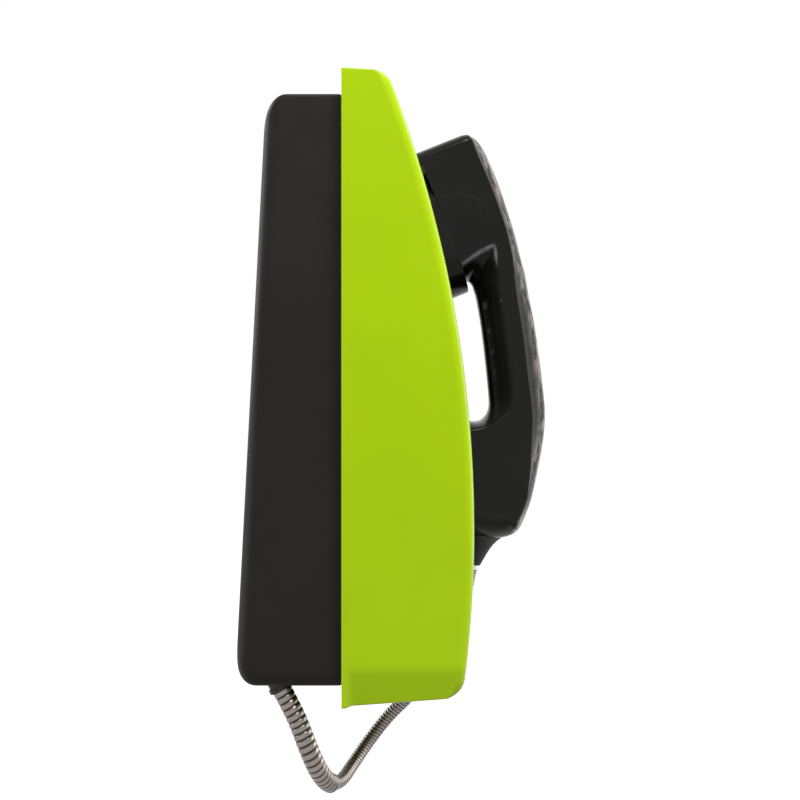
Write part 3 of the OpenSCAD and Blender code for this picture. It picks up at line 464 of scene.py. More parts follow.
# %% [markdown]
# The back has four screw holes and the line entry, and the bottom has the hole for the cord's
# bushing. They are cut with round tools at the places of the frame's own mount and bushing. A seal of
# black rubber, with the same outline, lies between the box and the cover.

# %% Holes and seal


def tool_between(first, second):
    """A closed piece to cut with, between two outlines of as many points, in metres."""
    n = len(first)
    faces, ends = grid_faces(2, n, wrap_columns=True), [list(range(n))[::-1], list(range(n, 2 * n))]
    return outwards(link("tool", mesh_from("tool", np.concatenate([first, second]), faces, ends)))


def round_tool(centre, axis, radius, half_length, sides=64):
    """A closed cylinder to cut with, in metres."""
    axis = np.array(axis, float) / np.linalg.norm(axis)
    u = np.cross(axis, [1.0, 0, 0] if abs(axis[0]) < 0.9 else [0, 1.0, 0])
    u /= np.linalg.norm(u)
    v = np.cross(axis, u)
    angle = full_turn(sides)
    ring = radius * (np.cos(angle)[:, None] * u + np.sin(angle)[:, None] * v)
    return tool_between(centre + ring - half_length * axis, centre + ring + half_length * axis)


def joined(pieces):
    """One tool from several that don't touch."""
    work = bmesh.new()
    for piece in pieces:
        work.from_mesh(piece.data)
        bpy.data.objects.remove(piece)
    mesh = bpy.data.meshes.new("tool")
    work.to_mesh(mesh)
    work.free()
    return link("tool", mesh)


bolts = next(m for m in frame["record"]["mounts"] if m["name"] == "wall_bolts")["dims"]
grommet_low, grommet_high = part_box("line_grommet")
grommet = (grommet_low + grommet_high) / 2
tools = [round_tool(np.array([sx * bolts["spacing_x_mm"] / 2, -2, sz * bolts["spacing_y_mm"] / 2]) * MM,
                    (0, 1, 0), bolts["hole_r_mm"] * MM, 8 * MM) for sx in (-1, 1) for sz in (-1, 1)]
tools.append(round_tool(np.array([grommet.x, -0.002, grommet.z]), (0, 1, 0),
                        GROMMET_HOLE_R * MM, 8 * MM))
tools.append(round_tool(route_points[-1], route_points[-1] - route_points[-8],
                        BUSHING_HOLE_R * MM, 12 * MM))
smooth(cut(wall_box, joined(tools)), 40)
stands_for(wall_box, "back_box", "housing")

outer, inner = box_outline(0.3), box_outline(GASKET_W)
seal_rings = [np.stack([o[:, 0], np.full(len(o), f), o[:, 1] + BOX_MIDDLE], -1)
              for o, f in ((outer, 0), (outer, -GASKET_T), (inner, -GASKET_T), (inner, 0), (outer, 0))]
seal = outwards(link("rubber_seal", mesh_from(
    "rubber_seal", lean_points(np.array(seal_rings)), grid_faces(5, len(outer), wrap_columns=True))))
smooth(seal, 30)
stands_for(seal, "cover_gasket", "housing")

# %% [markdown]
# ## The cover
# Seen from the side the cover is a long bow: straight behind, a gentle arc of 600 mm radius in
# front, and rounded corners at the top and bottom. A fillet of 5 mm runs along both sides of the
# front and grows narrow along the top and bottom. The form is this side profile carried across the
# phone and drawn in at the sides along a quarter circle. The same form, smaller by the wall, makes it
# hollow.

# %% Cover form
COVER_W = 120.0
COVER_DEPTH = 63.6
COVER_WALL = 2.6
COVER_EDGE_R = 5.0
COVER_CORNER_R = 11.0
COVER_FRONT_R = 600.0
BELLY_DROP = 68.0
BROW_DROP = 1.2
CHIN_RISE = 4.4
RIM_T = 3.0
COVER_BOTTOM = -COVER_H / 2
END_SHARE = 0.25
PROFILE_MARGIN = 16.0


def ease(t):
    """A soft step from 0 to 1."""
    t = np.clip(t, 0, 1)
    return t * t * (3 - 2 * t)


def front_at(up):
    """How far forward the cover's front arc stands at a height."""
    return COVER_DEPTH - COVER_FRONT_R + np.sqrt(COVER_FRONT_R**2 - (np.asarray(up) + BELLY_DROP) ** 2)


def fillet(a, b, c, radius, steps):
    """An arc that rounds the corner b between a and c."""
    u, v = (a - b) / np.linalg.norm(a - b), (c - b) / np.linalg.norm(c - b)
    half = math.acos(float(u @ v)) / 2
    centre = b + (u + v) / np.linalg.norm(u + v) * radius / math.sin(half)
    p, q = b + u * radius / math.tan(half), b + v * radius / math.tan(half)
    a0, a1 = math.atan2(*(p - centre)[::-1]), math.atan2(*(q - centre)[::-1])
    sweep = (a1 - a0 + math.pi) % (2 * math.pi) - math.pi
    angle = a0 + sweep * np.linspace(0, 1, steps + 1)
    return centre + radius * np.stack([np.cos(angle), np.sin(angle)], -1)


def cover_profile(inset, drawn=0.0, edge_steps=16, arc_steps=140, corner_steps=20):
    """The side profile from the rim's bottom round the front to the rim's top, as forward and up.

    Each point is moved inwards, square to the profile, by inset plus drawn, and by only a quarter of
    drawn along the top and the bottom."""
    bottom, top = np.array([0, COVER_BOTTOM]), np.array([0, -COVER_BOTTOM])
    chin_up, brow_up = COVER_BOTTOM + CHIN_RISE, -COVER_BOTTOM - BROW_DROP
    chin, brow = np.array([front_at(chin_up), chin_up]), np.array([front_at(brow_up), brow_up])
    ups = np.linspace(chin_up + PROFILE_MARGIN, brow_up - PROFILE_MARGIN, arc_steps)
    front = np.stack([front_at(ups), ups], -1)
    low = fillet(bottom, chin, front[0], COVER_CORNER_R, corner_steps)
    high = fillet(front[-1], brow, top, COVER_CORNER_R, corner_steps)
    t = np.linspace(0, 1, edge_steps + 1)[:, None]
    path = np.vstack([bottom + (low[0] - bottom) * t[:-1], low, front[1:-1], high,
                      high[-1] + (top - high[-1]) * t[1:]])
    step = np.gradient(path, axis=0)
    step[0], step[-1] = path[1] - path[0], path[-1] - path[-2]
    step /= np.linalg.norm(step, axis=1)[:, None]
    facing = END_SHARE + (1 - END_SHARE) * ease(np.abs(step[:, 1]) * 1.3 - 0.2)
    return path + (inset + drawn * facing)[:, None] * np.stack([-step[:, 1], step[:, 0]], -1)


def cover_form(name, inset, rear, fillet_steps=12):
    """A closed form: the profile carried across, its sides drawn in along a quarter circle."""
    edge = COVER_EDGE_R - inset * 0.9
    angle = np.linspace(0, math.pi / 2, fillet_steps + 1)
    half = COVER_W / 2 - inset - edge * (1 - np.sin(angle))
    drawn = edge * (1 - np.cos(angle))
    places, offsets = np.concatenate([-half[::-1], half]), np.concatenate([drawn[::-1], drawn])
    points = []
    for x, offset in zip(places, offsets):
        row = cover_profile(inset, offset)
        row[:, 0] = np.maximum(row[:, 0], rear)
        row[0, 0] = row[-1, 0] = rear
        points.append(np.stack([np.full(len(row), x), row[:, 0], row[:, 1]], -1))
    points = np.array(points)
    rings, columns = points.shape[:2]
    first = np.arange(rings) * columns
    rear_face = list(first[::-1]) + list(first + columns - 1)
    sides = end_faces(rings, columns) + [rear_face]
    return outwards(link(name, mesh_from(name, lean_points(points), grid_faces(rings, columns), sides)))


def prism(outline, half_width):
    """A tool from a side outline, as forward and up, carried across between two upright planes."""
    forward, up = np.asarray(outline, float).T
    return tool_between(lean(-half_width, forward, up), lean(half_width, forward, up))


# %% [markdown]
# ## The handset's two cups
# The ear cup and the mouth cup are tilted against the handset's own line. Places on them are written
# as a distance out along the cup's axis and a distance beside it, and turned into forward and up.

# %% Cup frames
CUP_PITCH = 140.0
HANDSET_MID = np.array([67.35, 22.95])
HANDSET_LEAN = 2.2
EAR_TILT = 22.0
MOUTH_TILT = 8.0
CAP_R = 33.0
CAP_WALL = 2.5
EAR_CAP_DEPTH = 23.5
MOUTH_CAP_DEPTH = 16.0
EAR_CAP_R0 = 5.5
EAR_SKIRT = -16.5
MOUTH_SKIRT = -11.5
EAR_FACE = EAR_SKIRT - EAR_CAP_DEPTH
MOUTH_FACE = MOUTH_SKIRT - MOUTH_CAP_DEPTH


def heading(angle):
    """The direction of an angle in degrees, as forward and up."""
    return np.array([math.cos(math.radians(angle)), math.sin(math.radians(angle))])


ear_c = HANDSET_MID + CUP_PITCH / 2 * heading(90 + HANDSET_LEAN)
mouth_c = HANDSET_MID - CUP_PITCH / 2 * heading(90 + HANDSET_LEAN)


def ear_pt(out, down):
    """A place on the ear cup: out along its axis and down beside it."""
    return ear_c + out * heading(EAR_TILT) + down * heading(EAR_TILT - 90)


def mouth_pt(out, up):
    """A place on the mouth cup: out along its axis and up beside it."""
    return mouth_c + out * heading(-MOUTH_TILT) + up * heading(90 - MOUTH_TILT)


def grip_pt(out, up):
    """A place beside the middle of the handset."""
    return HANDSET_MID + np.array([out, up])


# %% [markdown]
# ## Opening of the cover
# Between the cheeks the cover is open, so that the handset can lie in its cradle. The opening is the
# cradle's side outline, grown by the tray's wall, with a narrower slot below it for the cord. Both
# are cut right out of the hollow form. Four posts reach from the rim to the front face, and a stepped
# well in each takes a screw.

# %% Window and wells
CRADLE_GAP = 3.4
TRAY_WALL = 2.6
TROUGH_W = 44.0
SEAT_GAP = 0.3
FIT_GAP = 0.3
KEYPAD_FORWARD = 42.0
WINDOW_HALF = CAP_R + CRADLE_GAP
LEDGE_UP = mouth_pt(MOUTH_SKIRT, -CAP_R)[1] - SEAT_GAP
FAR = 95.0
POST_R = 5.3
POST_X = BOX_W / 2 - BOX_WALL - POST_R
POST_UPS = (BOX_BOTTOM + 34, BOX_TOP - BOX_WALL - POST_R)
WELL_R = 4.0
WELL_FLOOR = 7.0
SCREW_HOLE_R = 2.3


def cradle_outline(grow):
    """Side outline of the cradle's hollow, grown by some millimetres."""
    ear_seat, mouth_seat = EAR_FACE - SEAT_GAP - grow, MOUTH_FACE - SEAT_GAP - grow
    keypad = KEYPAD_FORWARD - grow
    cross = (keypad - ear_pt(ear_seat, 0)[0]) / math.sin(math.radians(EAR_TILT))
    back = (keypad - mouth_pt(mouth_seat, 0)[0]) / math.sin(math.radians(MOUTH_TILT))
    low = (LEDGE_UP - grow - mouth_pt(mouth_seat, 0)[1]) / math.cos(math.radians(MOUTH_TILT))
    return [(FAR, ear_pt(5, -40 - grow)[1]), ear_pt(5, -40 - grow), ear_pt(ear_seat, -40 - grow),
            ear_pt(ear_seat, cross), mouth_pt(mouth_seat, back), mouth_pt(mouth_seat, low),
            (FAR, LEDGE_UP - grow)]


def trough_outline(grow):
    """Side outline of the cord's trough below the mouth cup."""
    bottom = COVER_BOTTOM - 2
    return [(56 - grow, LEDGE_UP - grow / 2), (56 - grow, -92), (31 - grow, bottom),
            (FAR, bottom), (FAR, LEDGE_UP + 1)]


def rods(radius, near, far):
    """Round rods along the four posts, between two distances forward."""
    made = []
    for x in (-POST_X, POST_X):
        for up in POST_UPS:
            a, b = lean(x, near, up), lean(x, far, up)
            made.append(round_tool((a + b) / 2, b - a, radius * MM, float(np.linalg.norm(b - a)) / 2, 40))
    return joined(made)


cover = cover_form("green_cover", 0, 0)
cut(cover, cover_form("hollow", COVER_WALL, RIM_T))
opening_h = (BOX_TOP - BOX_BOTTOM) / 2 - BOX_WALL - GASKET_W
opening_w = BOX_W / 2 - BOX_WALL - GASKET_W
cut(cover, prism([(-5, BOX_MIDDLE - opening_h), (RIM_T + 2, BOX_MIDDLE - opening_h),
                  (RIM_T + 2, BOX_MIDDLE + opening_h), (-5, BOX_MIDDLE + opening_h)], opening_w))
posts = rods(POST_R, 0.5, 60)
cut(posts, cover_form("trim", COVER_WALL / 2, 0.2), "INTERSECT")
cut(cover, posts, "UNION")
cut(cover, rods(WELL_R, WELL_FLOOR, 80))
cut(cover, rods(SCREW_HOLE_R, -5, WELL_FLOOR + 1))
tray_room = TRAY_WALL + FIT_GAP
cut(cover, prism(cradle_outline(tray_room), WINDOW_HALF))
cut(cover, prism(trough_outline(tray_room), TROUGH_W / 2 + tray_room))

# %% [markdown]
# The lowest two centimetres of both cheeks turn inwards a little, so that the bottom of the cover
# reads darker than the rest. The cheeks are sliced there into narrow strips, and each strip is moved
# inwards by a soft ramp of its height. A narrow edge along the rear rim stays straight.

# %% Tucked cheeks
TUCK_H = 19.0
TUCK_SLOPE = math.tan(math.radians(12))
TUCK_BLEND = 4.0
CHEEK_FROM = 40.0

front_axis = lean(0, 1, 0) - lean(0, 0, 0)
tuck_top = COVER_BOTTOM + TUCK_H + TUCK_BLEND
with editing(cover) as work:
    for above in np.linspace(1, TUCK_H + TUCK_BLEND, 18):
        plane = lean(0, 0, COVER_BOTTOM + above)
        bmesh.ops.bisect_plane(work, geom=work.verts[:] + work.edges[:] + work.faces[:],
                               plane_co=plane.tolist(), plane_no=up_axis.tolist())
    for ahead in (2.0, 3.0, 4.0, 5.0):
        low_part = [f for f in work.faces if unlean([f.calc_center_median()])[2][0] < tuck_top]
        edges = {e for f in low_part for e in f.edges}
        verts = {v for f in low_part for v in f.verts}
        bmesh.ops.bisect_plane(work, geom=list(verts) + list(edges) + low_part,
                               plane_co=lean(0, ahead, 0).tolist(), plane_no=front_axis.tolist())
x, forward, up = unlean(places_of(cover.data))
drop = COVER_BOTTOM + TUCK_H - up
tuck = TUCK_SLOPE * np.where(drop > 2, drop, np.clip(drop + 2, 0, 4) ** 2 / 8) * ease((forward - 2) / 3)
x = np.where(np.abs(x) > CHEEK_FROM, x - np.sign(x) * tuck, x)
cover.data.vertices.foreach_set("co", lean(x, forward, up).ravel())
bevel = cover.modifiers.new("edges", "BEVEL")
bevel.width = 0.5 * MM
bevel.segments = 2
bevel.limit_method = "ANGLE"
bevel.angle_limit = math.radians(60)
smooth(cover, 30)
stands_for(cover, "front_cover", "housing")

# %% [markdown]
# ## The handset
# Seen from the side the handset is a ladder of rungs that fans round the ear cup, runs down the grip
# and fans round the mouth cup. The left ends of the rungs lie on the two flat skirts and the inner
# side of the grip, the right ends on the outer side. Each half of the handset is a height field over
# this ladder: at every place it has a half width, which falls to nothing along the outer line and
# the inner line of the grip.

# %% Handset ladder
EAR_RUNGS = [
    ((-16.5, -37.2), (2, -37.2)), ((-16.5, -36.6), (10.4, -36.7)), ((-16.5, -33.5), (15.6, -33.4)),
    ((-16.5, -26), (18.2, -26)), ((-16.5, -11), (18.8, -11)), ((-16.5, 5.6), (18, 5.6)),
    ((-16.5, 22.2), (16.6, 22.2)), ((-16.5, 33), (15.3, 32)), ((-14.4, 33.4), (14.9, 35)),
    ((-13.4, 36), (14.6, 37.5)), ((-13.6, 38.6), (14.3, 41))]
GRIP_RUNGS = [
    ((0.6, 24), (28.1, 25)), ((3, 10), (31, 10.5)), ((5.2, -8), (33.6, -7.6)), ((6.9, -25), (35.8, -26))]
MOUTH_RUNGS = [
    ((-0.9, 38.2), (28.9, 37.4)), ((-1.6, 34.1), (29.6, 27)), ((-3.6, 31.2), (29.5, 19)),
    ((-5.7, 29.9), (29.2, 13)), ((-8, 29.4), (28.9, 8)), ((-11.5, 29.3), (28.4, 2)),
    ((-11.5, 24), (27.5, -7)), ((-11.5, 15), (26, -14.5)), ((-11.5, 4), (23.8, -21.7)),
    ((-11.5, -8), (19.9, -26.7)), ((-11.5, -18), (12.2, -29.6)), ((-11.5, -26), (4, -30)),
    ((-11.5, -30.05), (-3, -30.05))]
EAR_CORNER, MOUTH_CORNER = 7, 20
CROWN = np.array([
    (1.2, 3.5), (1.53, 5.0), (3.46, 7.5), (4.64, 6.8), (5.7, 6.2), (9.1, 7.5), (11.85, 9.3),
    (13.53, 9.8), (15.7, 9.0), (20.95, 4.8), (22.6, 5.5), (23.5, 4.0)])
BOSS = np.array([
    (30, 95), (46.8, 96.3), (58.8, 97.3), (65, 95.6), (70.5, 91.8), (74.4, 85.9), (76.3, 76),
    (77.0, 70), (76, 62), (60, 46), (30, 40)])
EAR_HALF, GRIP_HALF, MOUTH_HALF, BOSS_STEP = 29.6, 23.5, 27.0, 0.3
LID_R, CHIN_R, CREASE_BLEND = 7.0, 14.0, 0.8
PALM_EDGE = [
    (30, 42), (44, 52), (54.7, 59.5), (62.1, 65.3), (69.2, 69.9), (75.3, 72.2), (77.2, 66), (78.5, 60),
    (79.8, 50), (82.7, 33.3), (84.9, 16.1), (86.6, 5.9), (87.0, -4.2), (84.8, -10.8), (80, -15.5),
    (74, -18.8), (68, -20.6), (61, -21.4), (50, -21.5)]

LADDER = [(ear_pt, EAR_RUNGS), (grip_pt, GRIP_RUNGS), (mouth_pt, MOUTH_RUNGS)]
left_knots, right_knots = (
    np.array([place(*rung[side]) for place, rungs in LADDER for rung in rungs]) for side in (0, 1))
LAST = len(left_knots) - 1


def left_line(at):
    """The left ends: straight along the skirts, a smooth curve along the inner side of the grip."""
    straight = np.stack([np.interp(at, np.arange(LAST + 1), left_knots[:, k]) for k in range(2)], -1)
    along_grip = np.clip(at, EAR_CORNER, MOUTH_CORNER) - EAR_CORNER
    curve = spline(left_knots[EAR_CORNER:MOUTH_CORNER + 1], along_grip)
    inside = (at > EAR_CORNER) & (at < MOUTH_CORNER)
    return np.where(inside[:, None], curve, straight)


def rung_places():
    """Rung numbers, denser where the width changes fast: the top, the bottom and the two corners."""
    at = []
    for k in range(LAST):
        span = max(np.linalg.norm(knots[k + 1] - knots[k]) for knots in (left_knots, right_knots))
        steps = max(int(math.ceil(span / 0.8)), 3)
        t = np.linspace(0, 1, steps, endpoint=False)
        if k == 0:
            t = np.linspace(0, 1, 10, endpoint=False) ** 2
        if k in (1, MOUTH_CORNER):
            t = np.linspace(0, 1, steps + 8, endpoint=False) ** 1.6
        if k == EAR_CORNER - 1:
            t = 1 - np.linspace(1, 0, steps + 8, endpoint=False) ** 1.8
        if k == LAST - 1:
            t = 1 - np.linspace(1, 0, steps + 12, endpoint=False) ** 2
        at.append(k + t)
    return np.concatenate(at + [[LAST]])


# %% [markdown]
# The half width at a place is that of the ear, grip or mouth, times two falls. Towards the outer
# line it falls along a circle's arc, the crown, which meets the flat side at a soft crease. On the
# top and bottom faces the arc gives way to a rounder fillet. Towards the inner line of the grip it
# falls from a marked edge, the palm's edge, steeply at first and then square to the line. A fine step
# marks the round boss of the ear cup.

# %% Handset widths


def nearest(points, line):
    """Distance from each point to a polyline, and the number along it of the nearest place."""
    a, b = line[:-1], line[1:]
    along = b - a
    t = np.einsum("psk,sk->ps", points[:, None, :] - a, along) / np.einsum("sk,sk->s", along, along)
    t = np.clip(t, 0, 1)
    away = np.linalg.norm(points[:, None, :] - a - t[..., None] * along, axis=2)
    best = away.argmin(1)
    rows = np.arange(len(points))
    return away[rows, best], best + t[rows, best]


def inside_by(points, outline):
    """Signed distance to a closed outline, more than zero inside."""
    closed = np.vstack([outline, outline[:1]])
    away = nearest(points, closed)[0]
    a, b = closed[:-1], closed[1:]
    x, y = points[:, 0, None], points[:, 1, None]
    crosses = ((a[:, 1] > y) != (b[:, 1] > y)) & (
        x < (b[:, 0] - a[:, 0]) * (y - a[:, 1]) / np.where(b[:, 1] == a[:, 1], 1, b[:, 1] - a[:, 1])
        + a[:, 0])
    return np.where(crosses.sum(1) % 2 == 1, away, -away)


def soft_min(a, b, reach):
    """The smaller of two values, with a round blend where they are closer than reach."""
    h = np.clip(0.5 + 0.5 * (b - a) / reach, 0, 1)
    return b * (1 - h) + a * h - reach * h * (1 - h)


OUTER_AT = np.linspace(0, LAST, 700)
outer_line = np.vstack([left_knots[0], spline(right_knots, OUTER_AT), left_knots[-1]])
inner_line = left_line(np.linspace(EAR_CORNER, MOUTH_CORNER, 260))
boss_line = spline(np.vstack([BOSS, BOSS[:1]]), np.linspace(0, len(BOSS), 200, endpoint=False))
palm_edge = spline(np.array(PALM_EDGE, float), np.linspace(0, len(PALM_EDGE) - 1, 260))
palm_area = np.vstack([palm_edge, mouth_pt(-40, 29.3), inner_line[::-1], ear_pt(-40, 33)])


def half_width(points):
    """Half width at places seen from the side, with masks of the crown and of the painted highlight along the
    ear cup's lower ridge.
    """
    up = points[:, 1]
    ear_share, mouth_share = ease((up - 35) / 60), ease((-5 - up) / 50)
    width = GRIP_HALF + (EAR_HALF - GRIP_HALF) * ear_share + (MOUTH_HALF - GRIP_HALF) * mouth_share
    away, number = nearest(points, outer_line)
    rung = np.interp(number, np.arange(len(outer_line)), np.concatenate([[0], OUTER_AT, [LAST]]))
    depth = np.interp(rung, CROWN[:, 0], CROWN[:, 1])
    radius = (width**2 + depth**2) / (2 * depth)
    near = np.clip(away, 0, radius)
    arc = np.sqrt(near * (2 * radius - near))
    crown = soft_min(arc, width, CREASE_BLEND)
    crown = np.where(arc < CREASE_BLEND, np.minimum(crown, arc), crown)
    top, bottom = 1 - ease((rung - 1.05) / 0.65), ease((rung - 22.7) / 1.5)
    lid = width * (1 - (1 - np.clip(away / LID_R, 0, 1)) ** 2.2) ** (1 / 2.2)
    chin = width * (1 - (1 - np.clip(away / CHIN_R, 0, 1)) ** 2) ** 0.5
    outer = crown * (1 - top) * (1 - bottom) + lid * top + chin * bottom
    palm_away, edge_away = nearest(points, inner_line)[0], nearest(points, palm_edge)[0]
    share = np.where(inside_by(points, palm_area) > 0, palm_away / (palm_away + edge_away + 1e-9), 1)
    power = 1.75 - 0.4 * ease((up - 48) / 14)
    palm = (1 - (1 - share) ** power) ** 0.5
    boss = ease(inside_by(points, boss_line) / 0.9 + 0.5)
    full = outer * palm
    half = full + BOSS_STEP * boss * np.clip(full / width, 0, 1)
    mask = ease((width - arc - 0.7) / 3) * (1 - top)
    beyond = np.where(share < 1, edge_away, -edge_away)
    # The ridge highlight mask: a band along the palm's edge under the ear cup, where a pale highlight is
    # painted.
    ridge_highlight = np.exp(-((beyond - 0.7) / 0.75) ** 2) * ease((up - 56) / 10) * ease((77.5 - points[:, 0]) / 1.5)
    return half, mask, ridge_highlight


def handset_columns(length, at):
    """Distances from the right end of each rung: dense on the crown, at the crease and at the palm."""
    depth = np.minimum(np.interp(at, CROWN[:, 0], CROWN[:, 1]), 0.4 * length)[:, None]
    radius = (GRIP_HALF**2 + depth**2) / (2 * depth)
    level = GRIP_HALF * np.linspace(0, 0.93, 15)[None, :]
    crown = radius - np.sqrt(radius**2 - level**2)
    beside_crease = np.array([-0.7, -0.25, 0.2, 0.7, 1.3, 2.1])
    crease = depth + beside_crease[None, :] * np.minimum(length / 24, 1)[:, None]
    angle = np.linspace(0, math.pi / 2, 16)[None, :]
    palm = length[:, None] - np.minimum(5.0, 0.2 * length)[:, None] * (1 - np.sin(angle))
    t = np.linspace(0, 1, 58)[None, 1:-1]
    flat = crease[:, -1:] + (palm[:, :1] - crease[:, -1:]) * t
    return np.concatenate([crown, crease, flat, palm], 1)


def handset_half():
    """Places of one half, as rungs by columns of across, forward and up, and the two masks."""
    at = rung_places()
    left, right = left_line(at), spline(right_knots, at)
    length = np.linalg.norm(right - left, axis=1)
    share = handset_columns(length, at) / length[:, None]
    places = right[:, None, :] + (left - right)[:, None, :] * share[..., None]
    half, mask, ridge_highlight = (np.array(v) for v in zip(*[half_width(row) for row in places]))
    half[:, 0] = half[0] = half[-1] = 0
    grip = (at >= EAR_CORNER) & (at <= MOUTH_CORNER)
    half[grip, -1] = 0
    return np.concatenate([-half[..., None], places], -1), {"crown": mask, "ridge_highlight": ridge_highlight}


left_half, handset_masks = handset_half()
rows, columns = left_half.shape[:2]
right_half = left_half * [-1, 1, 1]
both = np.concatenate([left_half.reshape(-1, 3), right_half.reshape(-1, 3)])
left_faces = grid_faces(rows, columns)
right_faces = left_faces[:, ::-1] + rows * columns
edge = np.arange(rows) * columns + columns - 1
across = np.stack([edge[:-1], edge[1:], edge[1:] + rows * columns, edge[:-1] + rows * columns], -1)
handset_mesh = mesh_from("handset_body", lean_points(both), np.concatenate([left_faces, right_faces, across]))
for mask_name, mask in handset_masks.items():
    layer = handset_mesh.attributes.new(mask_name, "FLOAT", "POINT")
    layer.data.foreach_set("value", np.concatenate([mask.ravel()] * 2).astype(np.float32))
handset = outwards(link("handset_body", handset_mesh))
with editing(handset) as work:
    bmesh.ops.dissolve_degenerate(work, dist=2e-6, edges=work.edges)
smooth(handset, 38)
handset.modifiers.clear()  # steadied flats would leave a band along the crown's crease
stands_for(handset, "handset_shell", "handset")

# %% [markdown]
# ## Caps, boot and ferrule
# The two caps are turned shapes with a shallow dish, a rounded rim, a flat on both sides to grip them
# by, and nineteen sound holes each. The rubber boot widens from the cord into the shell, and a bright
# steel ferrule sits at its mouth.

# %% Turned pieces
DISH_R, DISH_DEPTH = 25.0, 0.9
CAP_RIM_R = 5.0
EAR_FLATS, MOUTH_FLATS = 29.6, 31.0
FLAT_WALL = 1.9
SOUND_HOLE_R = 1.4
FERRULE_R, FERRULE_BORE = 4.5, 3.62
BOOT_BORE = 3.9


def turned(name, profile, origin, axis, sides=112, flats=None):
    """A profile of radius and height, turned round an axis given as forward and up.

    A point at radius r, height z and angle a is origin + z * axis + r * (cos a * across + sin a * side).
    Flats, where given, are a half width for each point of the profile, and both sides end flat there."""
    profile, axis = np.asarray(profile, float), np.asarray(axis, float)
    side = np.array([-axis[1], axis[0]])
    angle = full_turn(sides)
    r, z = profile[:, :1], profile[:, 1:]
    x = r * np.cos(angle)
    if flats is not None:
        away = np.abs(x)
        x = np.sign(x) * np.where(away > 4, soft_min(away, flats[:, None], CREASE_BLEND), away)
    forward = origin[0] + z * axis[0] + r * np.sin(angle) * side[0]
    up = origin[1] + z * axis[1] + r * np.sin(angle) * side[1]
    mesh = mesh_from(name, lean(x, forward, up), grid_faces(len(profile), sides, wrap_columns=True))
    return outwards(link(name, mesh))


def arc_of(centre, radius, start, end, steps=8):
    """Points of an arc between two angles in degrees, as radius and height."""
    angle = np.radians(np.linspace(start, end, steps + 1))
    return np.stack([centre[0] + radius * np.cos(angle), centre[1] + radius * np.sin(angle)], -1)


def cap_profile(depth):
    """Outside and inside of a screw cap, from the middle of its face round the lip and back."""
    r = np.linspace(0, DISH_R, 14)
    dish = np.stack([r, DISH_DEPTH * (1 - (r / DISH_R) ** 2) ** 2], -1)
    rim = arc_of((CAP_R - CAP_RIM_R, CAP_RIM_R), CAP_RIM_R, -90, 0, 12)
    lip, bore = depth - 0.1, CAP_R - CAP_WALL
    side = [(CAP_R, lip - 0.3), (CAP_R - 0.08, lip - 0.1), (CAP_R - 0.25, lip)]
    wall = [(bore + 0.2, lip), (bore, lip - 0.2), (bore, CAP_WALL), (0, CAP_WALL)]
    return np.vstack([dish, rim, side, wall])


def screw_cap(name, depth, origin, axis, half):
    """A turned cap with flats, and a ring of six and one of twelve sound holes round one in the middle."""
    profile = cap_profile(depth)
    inside = np.arange(len(profile)) >= len(profile) - 4
    piece = turned(name, profile, origin, axis, flats=np.where(inside, half - FLAT_WALL, half))
    holes = [(0, 0)] + [(6, 60 * k) for k in range(6)] + [(12, 30 * k + 15) for k in range(12)]
    side = np.array([-axis[1], axis[0]])
    drills = []
    for r, turn in holes:
        x, s = r * math.cos(math.radians(turn)), r * math.sin(math.radians(turn))
        low, high = (lean(x, *(origin + z * axis + s * side)) for z in (-1, 4))
        drills.append(round_tool((low + high) / 2, high - low, SOUND_HOLE_R * MM, 2.5 * MM, 24))
    cut(piece, joined(drills))
    return smooth(piece, 35)


ear_cap = screw_cap("ear_screw_cap", EAR_CAP_DEPTH, ear_pt(EAR_FACE, EAR_CAP_R0),
                    heading(EAR_TILT), EAR_FLATS)
stands_for(ear_cap, "ear_cap", "handset")
mouth_cap = screw_cap("mouth_screw_cap", MOUTH_CAP_DEPTH, mouth_pt(MOUTH_FACE, 0),
                      heading(-MOUTH_TILT), MOUTH_FLATS)
stands_for(mouth_cap, "mouth_cap", "handset")

cord_start = np.array(ROUTE[0][1:], float)
cord_axis = cord_start - np.array(ROUTE[1][1:])
cord_axis /= np.linalg.norm(cord_axis)
flare = np.array([(4.4, 3.1), (5.3, 6), (6.2, 9), (7.2, 12), (8.5, 15), (10.4, 18), (12.6, 20.4)])
flare_at = np.linspace(3.3, 20.4, 24)
flare_side = np.stack([np.interp(flare_at, flare[:, 1], flare[:, 0]), flare_at], -1)
boot = turned("rubber_boot", np.vstack([
    [(BOOT_BORE, 3.05), (4.2, 3.05)], flare_side,
    [(12.4, 21.5), (BOOT_BORE, 21.5), (BOOT_BORE, 3.05)]]), cord_start, cord_axis, 80)
smooth(boot, 40)
stands_for(boot, "handset_boot", "handset")
ferrule_lip = 0.4
ferrule = turned("steel_ferrule", np.vstack([
    [(FERRULE_BORE, 0.5)], arc_of((FERRULE_R - ferrule_lip, 0.75), ferrule_lip, -90, 0, 5),
    arc_of((FERRULE_R - ferrule_lip, 2.55), ferrule_lip, 0, 90, 5),
    [(FERRULE_BORE, 2.95), (FERRULE_BORE, 0.5)]]), cord_start, cord_axis, 72)
smooth(ferrule, 40)
stands_for(ferrule, "cord_ferrule", "handset")

# %% [markdown]
# ## Keys
# Each key is a moulded cap with a flange that keeps it behind the bezel, a rounded front edge and a
# shallow dish for the fingertip. It is built up from rounded rectangles, measured on the node that it
# stands for. Its sign is a thin piece in a second colour, made from outline letters. The signs are the
# plain digits of any telephone.

# %% Keys
SIGNS = {"key_star": "*", "key_0": "0", "key_hash": "#"} | {"key_%d" % k: str(k) for k in range(1, 10)}
KEY_FLANGE, KEY_FLANGE_T, KEY_STEP, KEY_DISH = 0.9, 1.0, 0.8, 0.15
DIGIT_SIZE, STAR_SIZE, SIGN_HALF_T, SIGN_LIFT = 6.2, 9.5, 0.12, 0.06


